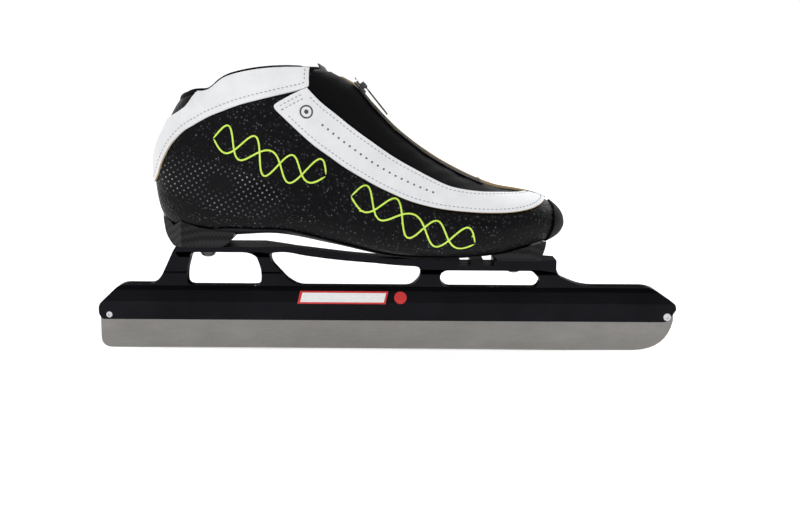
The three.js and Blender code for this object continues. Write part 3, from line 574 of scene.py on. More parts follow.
LEATHER = pebbled_leather()
COVER = smooth_leather("cover_leather", (0.002, 0.002, 0.0025), (0.0045, 0.0045, 0.0055), 0.62,
                       1800, 0.18, 0.07)
WHITE = smooth_leather("white_leather", (0.80, 0.81, 0.83), (0.90, 0.91, 0.92), 0.46)
FACING_EDGE = raw_edge("facing_edge", -0.02, -0.5)
BAND_EDGE = raw_edge("band_edge", 0.5, -0.132)
CARBON = carbon_weave()
ANODISED = anodised()
STEEL = ground_steel()
ZINC = plated("zinc_plate", (0.62, 0.63, 0.65), 0.22)
DARK_NICKEL = plated("dark_nickel", (0.10, 0.10, 0.105), 0.28)
LINING = cloth("lining_cloth", (0.003, 0.003, 0.004), (0.012, 0.012, 0.014), 0.0011)
FOOTBED = cloth("footbed_cloth", (0.02, 0.02, 0.023), (0.075, 0.075, 0.082), 0.0016)
TONGUE = cloth("tongue_cloth", (0.005, 0.005, 0.006), (0.020, 0.020, 0.023), 0.0019)
TAPE = cloth("zip_tape_cloth", (0.006, 0.006, 0.007), (0.016, 0.016, 0.018), 0.0007)
THREAD = cloth("grey_thread", (0.20, 0.21, 0.25), (0.45, 0.47, 0.52), 0.0004, 0.7, 0.1)
LIME = paint("lime_paint", (0.55, 0.82, 0.07), (0.70, 0.95, 0.13))
WHITE_INK = paint("white_ink", (0.82, 0.82, 0.82), (0.93, 0.93, 0.93), 0.35)
RED_INK = paint("red_ink", (0.50, 0.012, 0.012), (0.68, 0.02, 0.02), 0.35)
GREY_INK = paint("grey_ink", (0.03, 0.035, 0.05), (0.09, 0.10, 0.12), 0.5)

# ---- places on the wall ----
def locate(points, side=1):
    """Stations and signed girth shares of the wall points that show at (x, z) points from the side."""
    t, v = np.meshgrid(np.linspace(0.6, 15.6, 160), np.linspace(0.02, 0.98, 70), indexing="ij")
    grid = wall(t, side * v, 0)
    found = []
    for x, z in points:
        k = np.argmin((grid[..., 0] - x) ** 2 + (grid[..., 2] - z) ** 2)
        found.append((t.flat[k], side * v.flat[k]))
    tv, goal = np.array(found), np.array(points, float)
    for _ in range(8):
        here = wall(tv[:, 0], tv[:, 1], 0)[:, [0, 2]]
        dt = (wall(tv[:, 0] + 0.01, tv[:, 1], 0)[:, [0, 2]] - here) / 0.01
        dv = (wall(tv[:, 0], tv[:, 1] + 0.002, 0)[:, [0, 2]] - here) / 0.002
        off = goal - here
        det = dt[:, 0] * dv[:, 1] - dt[:, 1] * dv[:, 0]
        step = np.stack([off[:, 0] * dv[:, 1] - off[:, 1] * dv[:, 0],
                         dt[:, 0] * off[:, 1] - dt[:, 1] * off[:, 0]], axis=-1) / det[:, None]
        tv = tv + np.clip(step, [-0.2, -0.02], [0.2, 0.02])
    return tv


def settle(goal, tv):
    """Wall places nearest to points in space, from a first guess."""
    for _ in range(5):
        here = wall(tv[:, 0], tv[:, 1], 0)
        dt = (wall(tv[:, 0] + 0.01, tv[:, 1], 0) - here) / 0.01
        dv = (wall(tv[:, 0], tv[:, 1] + 0.002, 0) - here) / 0.002
        off = goal - here
        a, b, c = (dt * dt).sum(-1), (dt * dv).sum(-1), (dv * dv).sum(-1)
        p, q = (dt * off).sum(-1), (dv * off).sum(-1)
        det = a * c - b * b + 1e-9
        step = np.stack([(p * c - q * b) / det, (q * a - p * b) / det], axis=-1)
        tv = tv + np.clip(step, [-0.3, -0.04], [0.3, 0.04])
    return tv


def chaikin(points, rounds=3):
    """A corner line with its corners cut round."""
    p = np.array(points, float)
    for _ in range(rounds):
        a, b = p[:-1], p[1:]
        cut = np.stack([0.75 * a + 0.25 * b, 0.25 * a + 0.75 * b], axis=1).reshape(-1, p.shape[1])
        p = np.vstack([p[:1], cut, p[-1:]])
    return p


def run_along(p):
    """Length of a line of points up to each of them."""
    return np.concatenate([[0], np.cumsum(np.linalg.norm(np.diff(p, axis=0), axis=1))])


def directions(p):
    """Unit directions along a line of points."""
    along = np.gradient(p, axis=0)
    return along / np.linalg.norm(along, axis=1, keepdims=True)


def even(points, count):
    """The same line with evenly spaced points."""
    p = np.asarray(points, float)
    run = run_along(p)
    at = np.linspace(0, run[-1], count)
    return np.stack([np.interp(at, run, p[:, k]) for k in range(p.shape[1])], axis=-1)


def shifted(tv, distance):
    """A path on the wall moved sideways over the wall by a distance in mm."""
    p = wall(tv[:, 0], tv[:, 1], 0)
    return settle(p + np.cross(wall_normal(tv[:, 0], tv[:, 1]), directions(p)) * distance, tv)


# ---- the facing: a U round the throat ----
T_TIP = float(np.interp(0, *zip(*sorted((wall(t, 0, 0)[2] - smooth_line(FACING_LOW, wall(t, 0, 0)[0]), t)
                                        for t in np.linspace(12.6, 14, 40)))))


def throat_start(height, side):
    """Station at which the throat's edge comes down to a height."""
    t = np.linspace(1.2, 3, 200)
    v = throat_lateral(t) if side > 0 else throat_medial(t)
    return float(np.interp(-height, -wall(t, v, 0)[:, 2], t))


REAR_LATERAL = [(-74.2, 169.6), (-75.3, 171.1), (-75.2, 172.4), (-73.6, 173.8), (-57, 182.6), (-54, 183.5)]
REAR_MEDIAL = [(-76, 170.6), (-74.2, 173.4), (-57, 182.6), (-52.2, 183.9), (-52, 187.3)]
INNER_START = {1: throat_start(183.7, 1), -1: 1.95}
REAR = {}
for side, corners in ((1, REAR_LATERAL), (-1, REAR_MEDIAL)):
    edge = locate(corners, side)
    inner = (INNER_START[side], (throat_lateral if side > 0 else throat_medial)(INNER_START[side]))
    REAR[side] = even(chaikin(np.vstack([edge, inner]), 2)[::-1], 40)


def facing_grid(i, j):
    """i from the throat's edge to the low edge, j from the lateral rear end round the toe to the medial."""
    u = 2 * j
    side = np.where(u <= 1, 1, -1)
    s = np.where(u <= 1, u, 2 - u)
    run = np.sin(s * math.pi / 2)
    t_in = np.where(side > 0, INNER_START[1], INNER_START[-1]) * (1 - run) + THROAT_END * run
    v_in = np.where(side > 0, throat_lateral(t_in), throat_medial(t_in))
    start_low = np.where(side > 0, REAR[1][-1, 0], REAR[-1][-1, 0])
    t_out = start_low * (1 - run) + (T_TIP + 0.12) * run
    v_out = np.where(side > 0, low_at[1](t_out), -low_at[-1](t_out)) * np.where(s > 0.999, 0, 1)
    t, v = t_in + (t_out - t_in) * i, v_in + (v_out - v_in) * i
    fade = np.clip(1 - s / 0.07, 0, 1) ** 2
    for sign in (1, -1):
        rear, here = REAR[sign], (side == sign)
        k = np.linspace(0, 1, len(rear))
        straight = rear[0] * (1 - i[..., None]) + rear[-1] * i[..., None]
        curve = np.stack([np.interp(i, k, rear[:, 0]), np.interp(i, k, rear[:, 1])], axis=-1)
        extra = (curve - straight) * (fade * here)[..., None]
        t, v = t + extra[..., 0], v + extra[..., 1]
    return t, v


def facing_line(share, low=0.0, high=1.0, count=600):
    """A path along the facing at a share of its breadth; low and high are places along its U."""
    j = np.linspace(low, high, count)
    t, v = facing_grid(np.full(count, share), j)
    return np.stack([t, v], axis=-1)


# ---- the collar band ----
BAND_SHARES = np.linspace(0.1, 1, 90)
BAND_T = {key: np.array([first_under(lambda t, v=v: wall(t, v, 0), curve, low, 7) for v in BAND_SHARES])
          for key, curve, low in (("top", BAND_TOP, 1.04), ("low", BAND_LOW, 1.04))}


def band_grid(i, j):
    """i from the upper to the lower edge, j from the lateral front round the heel to the medial front."""
    front = np.full(i.shape, 0.2)
    t = np.full(i.shape, 1.4)
    for _ in range(8):
        front = 0.5 * front + 0.5 * front_at(t)
        v = front + (2 - 2 * front) * j
        w = np.where(v > 1, 2 - v, v)
        top, low = (np.interp(w, BAND_SHARES, BAND_T[key]) for key in ("top", "low"))
        corner = np.clip(1 - (w - front) / 0.035, 0, 1) ** 2
        t = top + (low - 0.09 * corner - top) * i
    return t, v


# ---- stitching, piping and prints on the wall ----
def capsule(centre, along, up, length, width, height):
    """A small stitch: a rounded bead of thread."""
    rings, sides = 5, 8
    across = np.cross(up, along)
    verts, faces = [], []
    for r in range(rings + 1):
        a = math.pi * r / rings
        for k in range(sides):
            b = 2 * math.pi * k / sides
            verts.append(centre - along * (math.cos(a) * length / 2)
                         + across * (math.sin(a) ** 0.6 * math.cos(b) * width / 2)
                         + up * (math.sin(a) ** 0.6 * math.sin(b) * height / 2))
    for r in range(rings):
        for k in range(sides):
            a, b = r * sides + k, r * sides + (k + 1) % sides
            faces.append((a, b, b + sides, a + sides))
    return verts, faces


def gather(name, parts, materials, smooth=True):
    """One object from several small closed meshes."""
    verts, faces = [], []
    for part_verts, part_faces in parts:
        base = len(verts)
        verts += list(part_verts)
        faces += [tuple(base + k for k in f) for f in part_faces]
    return tidy_mesh(add_object(name, verts, faces, materials, smooth=smooth))


def stitches(name, paths):
    """Dashed stitching along paths on the wall."""
    pitch, length, width, height, depth = 2.9, 1.7, 0.62, 0.5, -1.62
    parts = []
    for tv in paths:
        p = wall(tv[:, 0], tv[:, 1], depth)
        run = run_along(p)
        for at in np.arange(pitch / 2, run[-1] - pitch / 2, pitch):
            t, v = np.interp(at, run, tv[:, 0]), np.interp(at, run, tv[:, 1])
            ahead = np.array([np.interp(at + 0.3, run, p[:, k]) - np.interp(at - 0.3, run, p[:, k])
                              for k in range(3)])
            along = ahead / np.linalg.norm(ahead)
            parts.append(capsule(wall(t, v, depth), along, wall_normal(t, v), length, width, height))
    return gather(name, parts, [THREAD])


def ribbon_on_wall(tv, half, low, high, across_steps=4):
    """A thin raised stripe along a path on the wall, tapered at its ends, as (verts, faces)."""
    p = wall(tv[:, 0], tv[:, 1], 0)
    across = np.cross(wall_normal(tv[:, 0], tv[:, 1]), directions(p))
    n = len(p)
    s = np.linspace(0, 1, n)
    breadth = half * np.sqrt(np.clip(np.minimum(s, 1 - s) * n / 5, 0.02, 1))
    places = [(k, high * (1 - k * k) ** 0.5 + low * (1 - (1 - k * k) ** 0.5))
              for k in np.linspace(-1, 1, across_steps + 1)]
    rows = []
    for k, depth in places + [(0.8, low), (-0.8, low)]:
        edge = settle(p + across * (k * breadth)[:, None], tv)
        rows.append(wall(edge[:, 0], edge[:, 1], depth))
    return loft(np.stack(rows, axis=1))


def disc_on_wall(t, v, radius, depth, rise, hole=0.0, sides=28):
    """A small raised disc or ring on the wall, as (verts, faces)."""
    centre, up = wall(t, v, depth), wall_normal(t, v)
    u = np.cross(up, (0, 0, 1))
    u /= np.linalg.norm(u)
    w = np.cross(up, u)
    profile = [(radius, -0.15), (radius, rise * 0.5), (radius - 0.2, rise), (max(hole + 0.2, 0.05), rise),
               (max(hole, 0.05), rise * 0.5), (max(hole, 0.05), -0.15)]
    rings = [[centre + u * (r * math.cos(a)) + w * (r * math.sin(a)) + up * h
              for a in np.linspace(0, 2 * math.pi, sides, endpoint=False)] for r, h in profile]
    m = len(profile)
    verts = [p for ring in rings for p in ring]
    faces = [(r * sides + k, r * sides + (k + 1) % sides, ((r + 1) % m) * sides + (k + 1) % sides,
              ((r + 1) % m) * sides + k) for r in range(m) for k in range(sides)]
    return verts, faces


def tube(points, radius, sides=12, flat=1.0, ups=None):
    """A round or flattened tube through points in space, closed at its ends, as (verts, faces)."""
    p = np.asarray(points, float)
    along = directions(p)
    ups = np.tile((0.0, 0.0, 1.0), (len(p), 1)) if ups is None else ups
    side = np.cross(ups, along)
    side /= np.linalg.norm(side, axis=1, keepdims=True)
    up = np.cross(along, side)
    radii, a = np.broadcast_to(radius, (len(p),)), np.linspace(0, 2 * math.pi, sides, endpoint=False)
    across, rise = np.outer(radii, np.cos(a)), flat * np.outer(radii, np.sin(a))
    return loft(p[:, None] + side[:, None] * across[..., None] + up[:, None] * rise[..., None])


def on_boot(obj, slot, *nodes):
    """A piece that rides on the boot and stands for CAD nodes."""
    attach(obj, "boot")
    if nodes:
        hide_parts(*nodes)
    return obj


# ---- the boot's leather and overlays ----
def leather_upper():
    def grid(i, j):
        t = np.interp(i, [0, 0.08, 0.68, 0.86, 1], [1.12, 1.5, 11.3, 12.5, TIP])
        gap = 0.02 * closing(t)
        a, b = throat_lateral(t) + gap, 2 + throat_medial(t) - gap
        return t, a + (b - a) * j
    obj = sheet("leather_skin", grid, 200, 110, 0, 1.6, [LEATHER, COVER], tip=True, seam=SEAM, bevel=0.25)
    on_boot(obj, "black_leather", "leather_upper")


def facing():
    obj = sheet("facing_leather", facing_grid, 26, 300, *OVERLAY, [WHITE, FACING_EDGE], bevel=0.22)
    on_boot(obj, "white_leather", "facing")
    inner = shifted(facing_line(0.0, 0.012, 0.988), -2.8)
    outer = shifted(facing_line(1.0, 0.012, 0.988), 2.8)
    rows = [inner, outer]
    i = np.linspace(0.14, 0.86, 80)
    for j, way in ((0.0, 1), (1.0, -1)):
        end = np.stack(facing_grid(i, np.full(80, j)), axis=-1)
        rows += [shifted(end, 2.8 * way), shifted(end, 5.6 * way)]
    on_boot(stitches("facing_stitching", rows), "white_leather")


def collar_band():
    obj = sheet("collar_leather", band_grid, 40, 170, *OVERLAY, [WHITE, BAND_EDGE], bevel=0.22)
    on_boot(obj, "white_leather", "collar_band")
    j = np.linspace(0.004, 0.996, 600)
    low = np.stack(band_grid(np.ones(600), j), axis=-1)
    paths = [shifted(low, -3.2)]
    for end in (0.0, 1.0):
        i = np.linspace(0.12, 0.84, 60)
        front = np.stack(band_grid(i, np.full(60, end)), axis=-1)
        paths.append(shifted(front, 3.2 if end else -3.2))
    on_boot(stitches("collar_stitching", paths), "white_leather")


def toe_bumper():
    heights, edges = np.array([60, 78, 92, 103, 108, 125]), np.array([104, 108.5, 113.6, 114.6, 112.6, 112])
    shares = np.linspace(-1, 1, 81)
    starts = []
    for v in shares:
        t = np.linspace(12.6, 15.6, 240)
        p = wall(t, v, 0)
        starts.append(t[np.argmax(p[:, 0] > np.interp(p[:, 2], heights, edges))])

    def grid(i, j):
        v = 2 * j
        t0 = np.interp(np.where(v > 1, v - 2, v), shares, starts)
        return t0 + (TIP - t0) * i, v
    obj = sheet("toe_rim", grid, 40, 80, -1.4, -0.3, [COVER, COVER], tip=True, seam=0)
    on_boot(obj, "black_leather", "toe_bumper")


def lace_cover():
    """The cover over the laces, with a few soft creases across it where the foot bends."""
    def grid(i, j):
        t = 1.14 + (12.3 - 1.14) * np.sin(i * math.pi / 2)
        gap = 0.014 * closing(t)
        a, b = throat_medial(t) + gap, throat_lateral(t) - gap
        return t, a + (b - a) * j

    def outer(t, v, i, j):
        folds = np.sin(7.3 * t + 5 * j) * np.exp(-((t - 8.3) / 2.2) ** 2) + 0.6 * np.sin(4.1 * t - 7 * j + 1)
        return 0.35 + 0.22 * folds * np.sin(math.pi * j)
    obj = sheet("lace_cover_leather", grid, 150, 26, outer, lambda t, v, i, j: outer(t, v, i, j) + 1.0,
                [COVER, COVER])
    on_boot(obj, "cover_leather", "lace_cover")


def lining():
    def grid(i, j):
        t = 1.0 + (15.4 - 1.0) * i
        gap = 0.085 * closing(t)
        a, b = throat_lateral(t) + gap, 2 + throat_medial(t) - gap
        return t, a + (b - a) * j
    obj = sheet("lining_cloth", grid, 120, 80, 4.05, 5.6, [LINING, LINING], tip=True, seam=SEAM, bevel=0.3)
    on_boot(obj, "lining_fabric", "lining")


def collar_padding():
    """Foam round the ankle, pinched at its edges and sewn into soft channels."""
    shell_rim = np.array([(-170, 158.6), (-150, 156.6), (-125, 146.6), (-90, 136.6), (-40, 128.6),
                          (-10, 122.6), (140, 112.6)])
    shares = np.linspace(0.1, 1, 60)
    ends = np.array([first_under(lambda t, v=v: wall(t, v, 2), shell_rim, 1.2, 8) for v in shares])

    def grid(i, j):
        t = np.full(i.shape, 1.08)
        for _ in range(5):
            a, b = throat_lateral(t) + 0.085, 2 + throat_medial(t) - 0.085
            v = a + (b - a) * j
            low = np.interp(np.where(v > 1, 2 - v, v), shares, ends)
            t = 1.08 + (low - 1.08) * i
        return t, v

    def swell(t, v, i, j):
        edge = np.sqrt(np.clip(1 - np.abs(2 * i - 1) ** 8, 0, 1) * np.clip(1 - np.abs(2 * j - 1) ** 20, 0, 1))
        return edge * (1 - 0.12 * np.cos(5 * math.pi * i) ** 8)
    obj = sheet("collar_foam", grid, 60, 80, lambda t, v, i, j: 2.85 - 0.88 * swell(t, v, i, j),
                lambda t, v, i, j: 2.85 + 0.83 * swell(t, v, i, j), [LINING, LINING])
    on_boot(obj, "lining_fabric", "collar_padding")


def collar_binding():
    """Rolled binding over the collar's rim, from the throat's lateral side round to the medial side."""
    v = np.linspace(float(throat_lateral(1.0)) + 0.01, 2 - 0.062 - 0.06, 150)
    t = np.interp(v, [0.2, 0.3, 0.75, 0.9], [0.95, 0.93, 0.93, 0.97])
    path = wall(t, v, 1.2)
    ups = wall(t - 0.1, v, 1.6) - path
    ends_in = np.sqrt(np.clip(np.minimum(np.arange(150), 149 - np.arange(150)) / 3, 0.1, 1))
    roll = gather("collar_binding", [tube(path, 2.3 * ends_in, 14, 0.72, ups)], [COVER])
    on_boot(roll, "lining_fabric")


def heel_tab():
    """Padded tab that stands above the band at the back of the ankle."""
    angles, rings = np.linspace(0, 2 * math.pi, 32, endpoint=False), []
    for h in np.linspace(0, 1, 24):
        end = np.sqrt(np.clip(1 - (np.clip(h - 0.72, 0, 1) / 0.28) ** 3, 0.02, 1))
        centre = -140.6 + 3.6 * h
        puff = 1 + 0.06 * math.sin(3 * math.pi * h)
        rings.append([(centre + 4.9 * puff * end * np.sign(math.cos(a)) * abs(math.cos(a)) ** 0.75,
                       12.5 * end * np.sign(math.sin(a)) * abs(math.sin(a)) ** 0.6, 158 + 23.6 * h)
                      for a in angles])
    tab = gather("heel_tab", [loft(rings)], [LINING])
    on_boot(tab, "lining_fabric")


def tongue():
    """Padded tongue: crowned across, with sewn channels, rounded at its sides and top."""
    def rise(t):
        return np.clip((t - 0.85) / 0.9, 0, 1)

    def grid(i, j):
        top = 0.6 + 0.3 * np.clip(np.abs(j - 0.25) / 0.45, 0, 1) ** 1.2
        t = top + (10.6 - top) * i
        side = -0.02 + 0.08 * rise(t)
        a, b = throat_medial(np.maximum(t, 1)) - side, throat_lateral(np.maximum(t, 1)) + side
        round_top = 1 - np.clip((0.06 - i) / 0.06, 0, 1) ** 2 * 0.35
        mid = (a + b) / 2
        return t, mid + (b - a) / 2 * (2 * j - 1) * round_top

    def half(t, v, i, j):
        crown = np.clip(1 - np.abs(2 * j - 1) ** 5, 0, 1) ** 0.5
        ends = np.clip(np.minimum(i, 1 - i) / 0.02, 0.05, 1) ** 0.5
        channels = 1 - 0.3 * np.clip(np.cos(2 * math.pi * (t - 0.2) / 1.5), 0, 1) ** 10
        return 1.4 * crown * ends * channels + 0.02

    def middle(t):
        return 1.9 + 5.3 * rise(t)
    obj = sheet("tongue_pad", grid, 170, 44, lambda t, v, i, j: middle(t) - half(t, v, i, j),
                lambda t, v, i, j: middle(t) + half(t, v, i, j), [TONGUE, TONGUE])
    on_boot(obj, "tongue_suede", "tongue")


def insole():
    """Footbed with rounded rims and a shallow heel cup."""
    def grid(i, j):
        pinch = 1 - np.abs(2 * i - 1) ** 12 * 0.5
        return 6.4 + 7.9 * i, 1 + 0.24 * (2 * j - 1) * pinch

    def half(t, v, i, j):
        sides = np.clip(1 - np.abs(2 * j - 1) ** 9, 0, 1) ** 0.5
        return 1.18 * sides * np.clip(1 - np.abs(2 * i - 1) ** 30, 0, 1) ** 0.5 + 0.02
    obj = sheet("insole_pad", grid, 90, 34, lambda t, v, i, j: 7.8 - half(t, v, i, j),
                lambda t, v, i, j: 7.8 + half(t, v, i, j), [FOOTBED, FOOTBED], bevel=0.0)
    on_boot(obj, "insole_foam", "insole")


def outsole():
    def grid(i, j):
        pinch = 1 - np.abs(2 * i - 1) ** 14 * 0.35
        return 6.2 + 7.25 * i, 1 + 0.2 * (2 * j - 1) * pinch
    obj = sheet("outsole_carbon", grid, 90, 30, -1.5, -0.3, [CARBON, CARBON], bevel=0.3)
    on_boot(obj, "carbon", "outsole_plate")


def lace():
    """Lace zigzagging behind its cover."""
    def place(k):
        t = 4.2 + (10.6 - 4.2) * k / 6
        return t, throat_medial(t) - 0.045 if k % 2 else throat_lateral(t) + 0.045
    corners = [place(k) for k in range(7)]
    tv = np.vstack([np.linspace(corners[k], corners[k + 1], 24)[(1 if k else 0):] for k in range(6)])
    for _ in range(6):
        tv[1:-1] = 0.5 * tv[1:-1] + 0.25 * (tv[:-2] + tv[2:])
    path = wall(tv[:, 0], tv[:, 1], 3.2)
    radii = 0.55 * (1 + 0.05 * np.sin(np.arange(len(path)) * 1.9))
    obj = gather("lace_cord", [tube(path, radii, 10, 1.0, wall_normal(tv[:, 0], tv[:, 1]))], [TONGUE])
    on_boot(obj, "lace_cord", "lace")


# ---- zip ----
def along_zip(degrees, y, height):
    x, z = on_zip(degrees, -height)
    return np.array([x, y, z])


def zip_tape():
    """Two woven tape edges and the coil's interlocking teeth on the zip's arc."""
    angles = np.linspace(ZIP_TOP - 1.6, ZIP_LOW + 1.4, 90)
    strips = []
    for side in (-1, 1):
        ys = np.linspace(0.25, 5, 7)
        section = [(side * y, 0.35 - 0.019 * y * y) for y in ys]
        section += [(side * y, 0.82 - 0.019 * y * y) for y in ys[::-1]]
        strips.append(loft([[along_zip(a, y, h) for y, h in section] for a in angles]))
    on_boot(gather("zip_tape_cloth", strips, [TAPE]), "zip_fabric", "zip_tape")
    pitch = math.degrees(0.75 / ZIP_R)
    teeth = []
    for k, a in enumerate(np.arange(ZIP_TOP - 1.2, ZIP_LOW + 0.6, pitch)):
        side = 1 if k % 2 else -1
        here = along_zip(a, 0.5 * side, 1.05)
        up = along_zip(a, 0, 2) - along_zip(a, 0, 1)
        teeth.append(capsule(here, np.array([0.0, 1.0, 0.0]), up, 2.3, 0.62, 0.9))
    on_boot(gather("zip_coil", teeth, [TAPE]), "zip_fabric")


def throat_edge():
    """The medial facing's cut edge stands up beside the zip: tan on the throat side, white outside."""
    def strip(low, high, lift):
        def grid(i, j):
            t = 1.97 + (12.25 - 1.97) * i
            return t, throat_medial(t) - low - (high - low) * j

        def top(t, v, i, j):
            stand = np.interp(t, [1.97, 2.6, 3.2, 4.1, 4.9, 6.0, 7.5, 9.0, 10.5, 12.3],
                              [1.9, 3.0, 4.8, 6.2, 6.5, 5.8, 3.9, 2.8, 2.2, 1.7])
            return lift - stand * (1 - 0.06 * (2 * j - 1) ** 4)
        return grid, top
    for name, low, high, lift, finish in (("throat_edge", 0.001, 0.0075, 0.0, FACING_EDGE),
                                          ("throat_edge_outside", 0.0077, 0.0135, 0.15, WHITE)):
        grid, top = strip(low, high, lift)
        edge = sheet(name, grid, 200, 5, top, -1.2, [finish, finish], bevel=0.25)
        on_boot(edge, "white_leather")


# ---- hard parts shown from the CAD ----
def dress(name, finish, bevel=0.0, segments=2, angle=32):
    """A CAD node with its finish and, where asked, rounded edges."""
    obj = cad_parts[name]
    obj.data.materials.clear()
    obj.data.materials.append(finish)
    if bevel:
        flat = obj.modifiers.new("flat_faces", "DECIMATE")
        flat.decimate_type = "DISSOLVE"
        flat.angle_limit = math.radians(1.5)
        edge = obj.modifiers.new("rounded_edges", "BEVEL")
        edge.width = bevel * MM
        edge.segments = segments
        edge.limit_method = "ANGLE"
        edge.angle_limit = math.radians(angle)
        edge.harden_normals = True
        edge.miter_outer = "MITER_ARC"
    obj.data.polygons.foreach_set("use_smooth", np.full(len(obj.data.polygons), True))
    obj.data.set_sharp_from_angle(angle=math.radians(angle))
    return obj


def hard_parts():
    dress("frame", ANODISED, 0.55, 3)
    dress("blade", STEEL, 0.12, 1)
    for name in ("rear_blade_pin", "front_blade_screw", "heel_insert", "toe_insert"):
        dress(name, ZINC, 0.25)
    for name in ("heel_bolt", "toe_bolt", "heel_washer", "toe_washer"):
        dress(name, DARK_NICKEL, 0.25)
    for name in ("heel_mount_block", "toe_mount_block", "carbon_shell"):
        dress(name, CARBON, 0.0, angle=38)
    for name in ("zip_slider", "zip_pull", "zip_top_stop", "zip_bottom_stop"):
        dress(name, DARK_NICKEL, 0.25)


# ---- decoration ----
def squiggle():
    """Bright hand-painted braid down the lateral side: two waves that cross each other, in two lengths."""
    parts = []
    for start, end, waves, swing in (((-116, 151), (-42, 124), 2.5, 11.5), ((-24, 113), (58, 80), 2.5, 10.5)):
        along = np.linspace(0, 1, 60 * 7)
        spine = np.stack([np.interp(along, [0, 1], [start[k], end[k]]) for k in (0, 1)], axis=-1)
        for phase in (0.0, math.pi):
            wobble = 0.35 * np.sin(5.1 * along + phase)
            angle = 2 * math.pi * waves * along + wobble + phase
            height = swing * (0.72 + 0.28 * np.cos(2.3 * along * math.pi + phase)) * np.sin(angle)
            line = even(spine + np.stack([0.35 * height, height], axis=-1), 260)
            parts.append(ribbon_on_wall(locate(line, 1), 0.72, 0.06, -0.16))
    on_boot(gather("painted_strokes", parts, [LIME]), "black_leather")


def facing_marks():
    """A ring emblem and a row of small punched dots on the lateral side of the facing."""
    line = facing_line(0.46, 0, 0.5, 900)
    p = wall(line[:, 0], line[:, 1], -1.6)
    run = run_along(p)

    def at(distance):
        return [float(np.interp(distance, run, line[:, k])) for k in range(2)]
    emblem = [disc_on_wall(*at(17), 4.6, -1.6, 0.12, hole=3.5), disc_on_wall(*at(17), 1.5, -1.6, 0.12)]
    dots = [disc_on_wall(*at(d), 0.75, -1.6, 0.1, sides=14) for d in np.arange(31, 122, 4.6)]
    on_boot(gather("facing_marks", emblem + dots, [GREY_INK]), "white_leather")


def frame_print():
    """Generic slanted bar with a red border and a red disc, laid on the frame's lateral side."""
    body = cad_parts["frame"]

    def on_side(x, z, out):
        hit, place, _, _ = body.ray_cast(Vector((x * MM, -0.05, z * MM)), Vector((0, 1, 0)))
        y = place.y / MM if hit else -7.0
        return (x, y - out, z)

    def plate(name, corners, out, finish):
        rows = 7
        top, low = (np.linspace(corners[a], corners[b], 13) for a, b in ((0, 1), (3, 2)))
        shares = np.linspace(0, 1, rows)
        grid = [[a * (1 - k) + b * k for a, b in zip(top, low)] for k in shares]
        verts = [on_side(x, z, lift) for lift in (out, -0.05) for row in grid for x, z in row]
        count = rows * 13
        faces = []
        for r in range(rows - 1):
            for c in range(12):
                a = r * 13 + c
                faces += [(a, a + 1, a + 14, a + 13),
                          (count + a, count + a + 13, count + a + 14, count + a + 1)]
        rim = [c for c in range(13)] + [r * 13 + 12 for r in range(1, rows)]
        rim += [(rows - 1) * 13 + c for c in range(11, -1, -1)] + [r * 13 for r in range(rows - 2, 0, -1)]
        faces += [(rim[k], count + rim[k], count + rim[(k + 1) % len(rim)], rim[(k + 1) % len(rim)])
                  for k in range(len(rim))]
        obj = tidy_mesh(add_object(name, verts, faces, [finish], smooth=False))
        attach(obj, "running_gear")
    plate("print_border", [(-61, 43), (1, 43), (-1, 34), (-63, 34)], 0.06, RED_INK)
    plate("print_bar", [(-59.4, 41.8), (-0.6, 41.8), (-2.2, 35.2), (-61, 35.2)], 0.11, WHITE_INK)
    centre = (9.5, 38.6)
    sides = 26
    verts = [on_side(*centre, 0.1)]
    for r, out in ((4.2, 0.1), (4.4, 0.02)):
        verts += [on_side(centre[0] + r * math.cos(a), centre[1] + r * math.sin(a), out)
                  for a in np.linspace(0, 2 * math.pi, sides, endpoint=False)]
    faces = [(0, 1 + k, 1 + (k + 1) % sides) for k in range(sides)]
    faces += [(1 + k, 1 + sides + k, 1 + sides + (k + 1) % sides, 1 + (k + 1) % sides) for k in range(sides)]
    faces.append(tuple(1 + sides + k for k in range(sides - 1, -1, -1)))
    obj = tidy_mesh(add_object("print_disc", verts, faces, [RED_INK], smooth=False))
    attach(obj, "running_gear")


for build in (leather_upper, facing, collar_band, toe_bumper, lace_cover, lining, collar_padding,
              collar_binding, heel_tab, tongue, insole, outsole, lace, zip_tape, throat_edge, hard_parts,
              squiggle, facing_marks, frame_print):
    build()


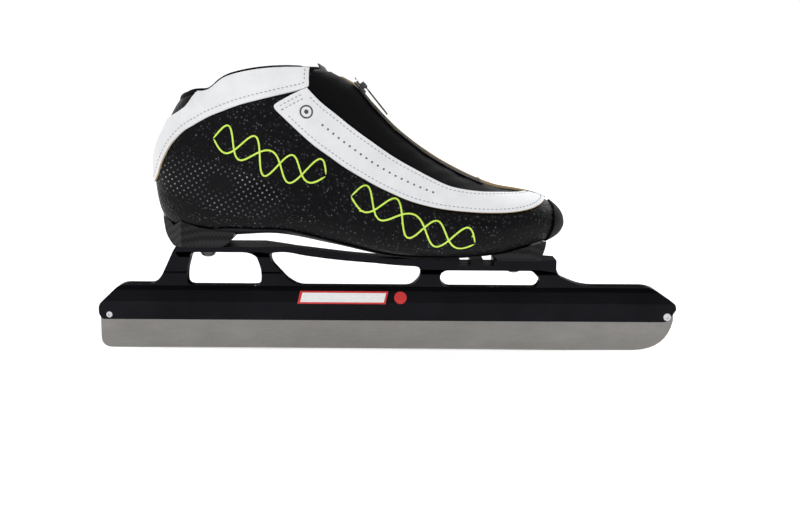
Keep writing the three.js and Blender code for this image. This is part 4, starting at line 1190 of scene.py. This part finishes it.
# ---- floor, light and camera ----
def studio():
    size = 6.0
    mesh = bpy.data.meshes.new("floor")
    corners = [(-size, -size, 0), (size, -size, 0), (size, size, 0), (-size, size, 0)]
    mesh.from_pydata(corners, [], [(0, 1, 2, 3)])
    floor = bpy.data.objects.new("floor", mesh)
    bpy.context.scene.collection.objects.link(floor)
    finish, tree, bsdf = material("floor_paper", (0.5, 0.5, 0.5), 0.95, Emission_Strength=0.82)
    bsdf.inputs["Emission Color"].default_value = (1, 1, 1, 1)
    mesh.materials.append(finish)

    world = bpy.data.worlds.new("studio")
    bpy.context.scene.world = world
    world.use_nodes = True
    tree = world.node_tree
    back = tree.nodes["Background"]
    coords = tree.nodes.new("ShaderNodeTexCoord")
    _, y, _ = axes_of(tree, coords.outputs["Generated"])
    tree.links.new(spread(tree, y, 0.1, 0.5, 0.22, 1.05), back.inputs["Strength"])
    back.inputs["Color"].default_value = (1, 1, 1, 1)

    for name, place, aim, power, width, height in (
            ("key", (-0.9, -1.3, 1.5), (0, 0, 0.1), 13, 0.9, 0.9),
            ("fill", (1.4, -1.1, 0.9), (0, 0, 0.1), 4, 0.8, 0.8),
            ("top", (0.0, 0.1, 1.9), (0, 0, 0.1), 9, 1.4, 0.8),
            ("rim", (0.4, 1.6, 1.2), (0, 0, 0.1), 6, 1.2, 0.6)):
        lamp = bpy.data.lights.new(name, "AREA")
        lamp.energy, lamp.shape, lamp.size, lamp.size_y = power, "RECTANGLE", width, height
        holder = bpy.data.objects.new(name, lamp)
        holder.location = place
        holder.rotation_euler = (Vector(aim) - Vector(place)).to_track_quat("-Z", "Y").to_euler()
        bpy.context.scene.collection.objects.link(holder)


def camera():
    lens = bpy.data.cameras.new("camera")
    lens.lens, lens.sensor_width = 54.85, 36
    holder = bpy.data.objects.new("camera", lens)
    place, aim = Vector((0.009, -0.850, 0.193)), Vector((0.009, 0, 0.0680))
    holder.location = place
    turn = (aim - place).to_track_quat("-Z", "Y") @ Quaternion((0, 0, 1), math.radians(0.35))
    holder.rotation_mode = "QUATERNION"
    holder.rotation_quaternion = turn
    bpy.context.scene.collection.objects.link(holder)
    bpy.context.scene.camera = holder


studio()
camera()
bpy.context.scene.view_settings.view_transform = "Standard"
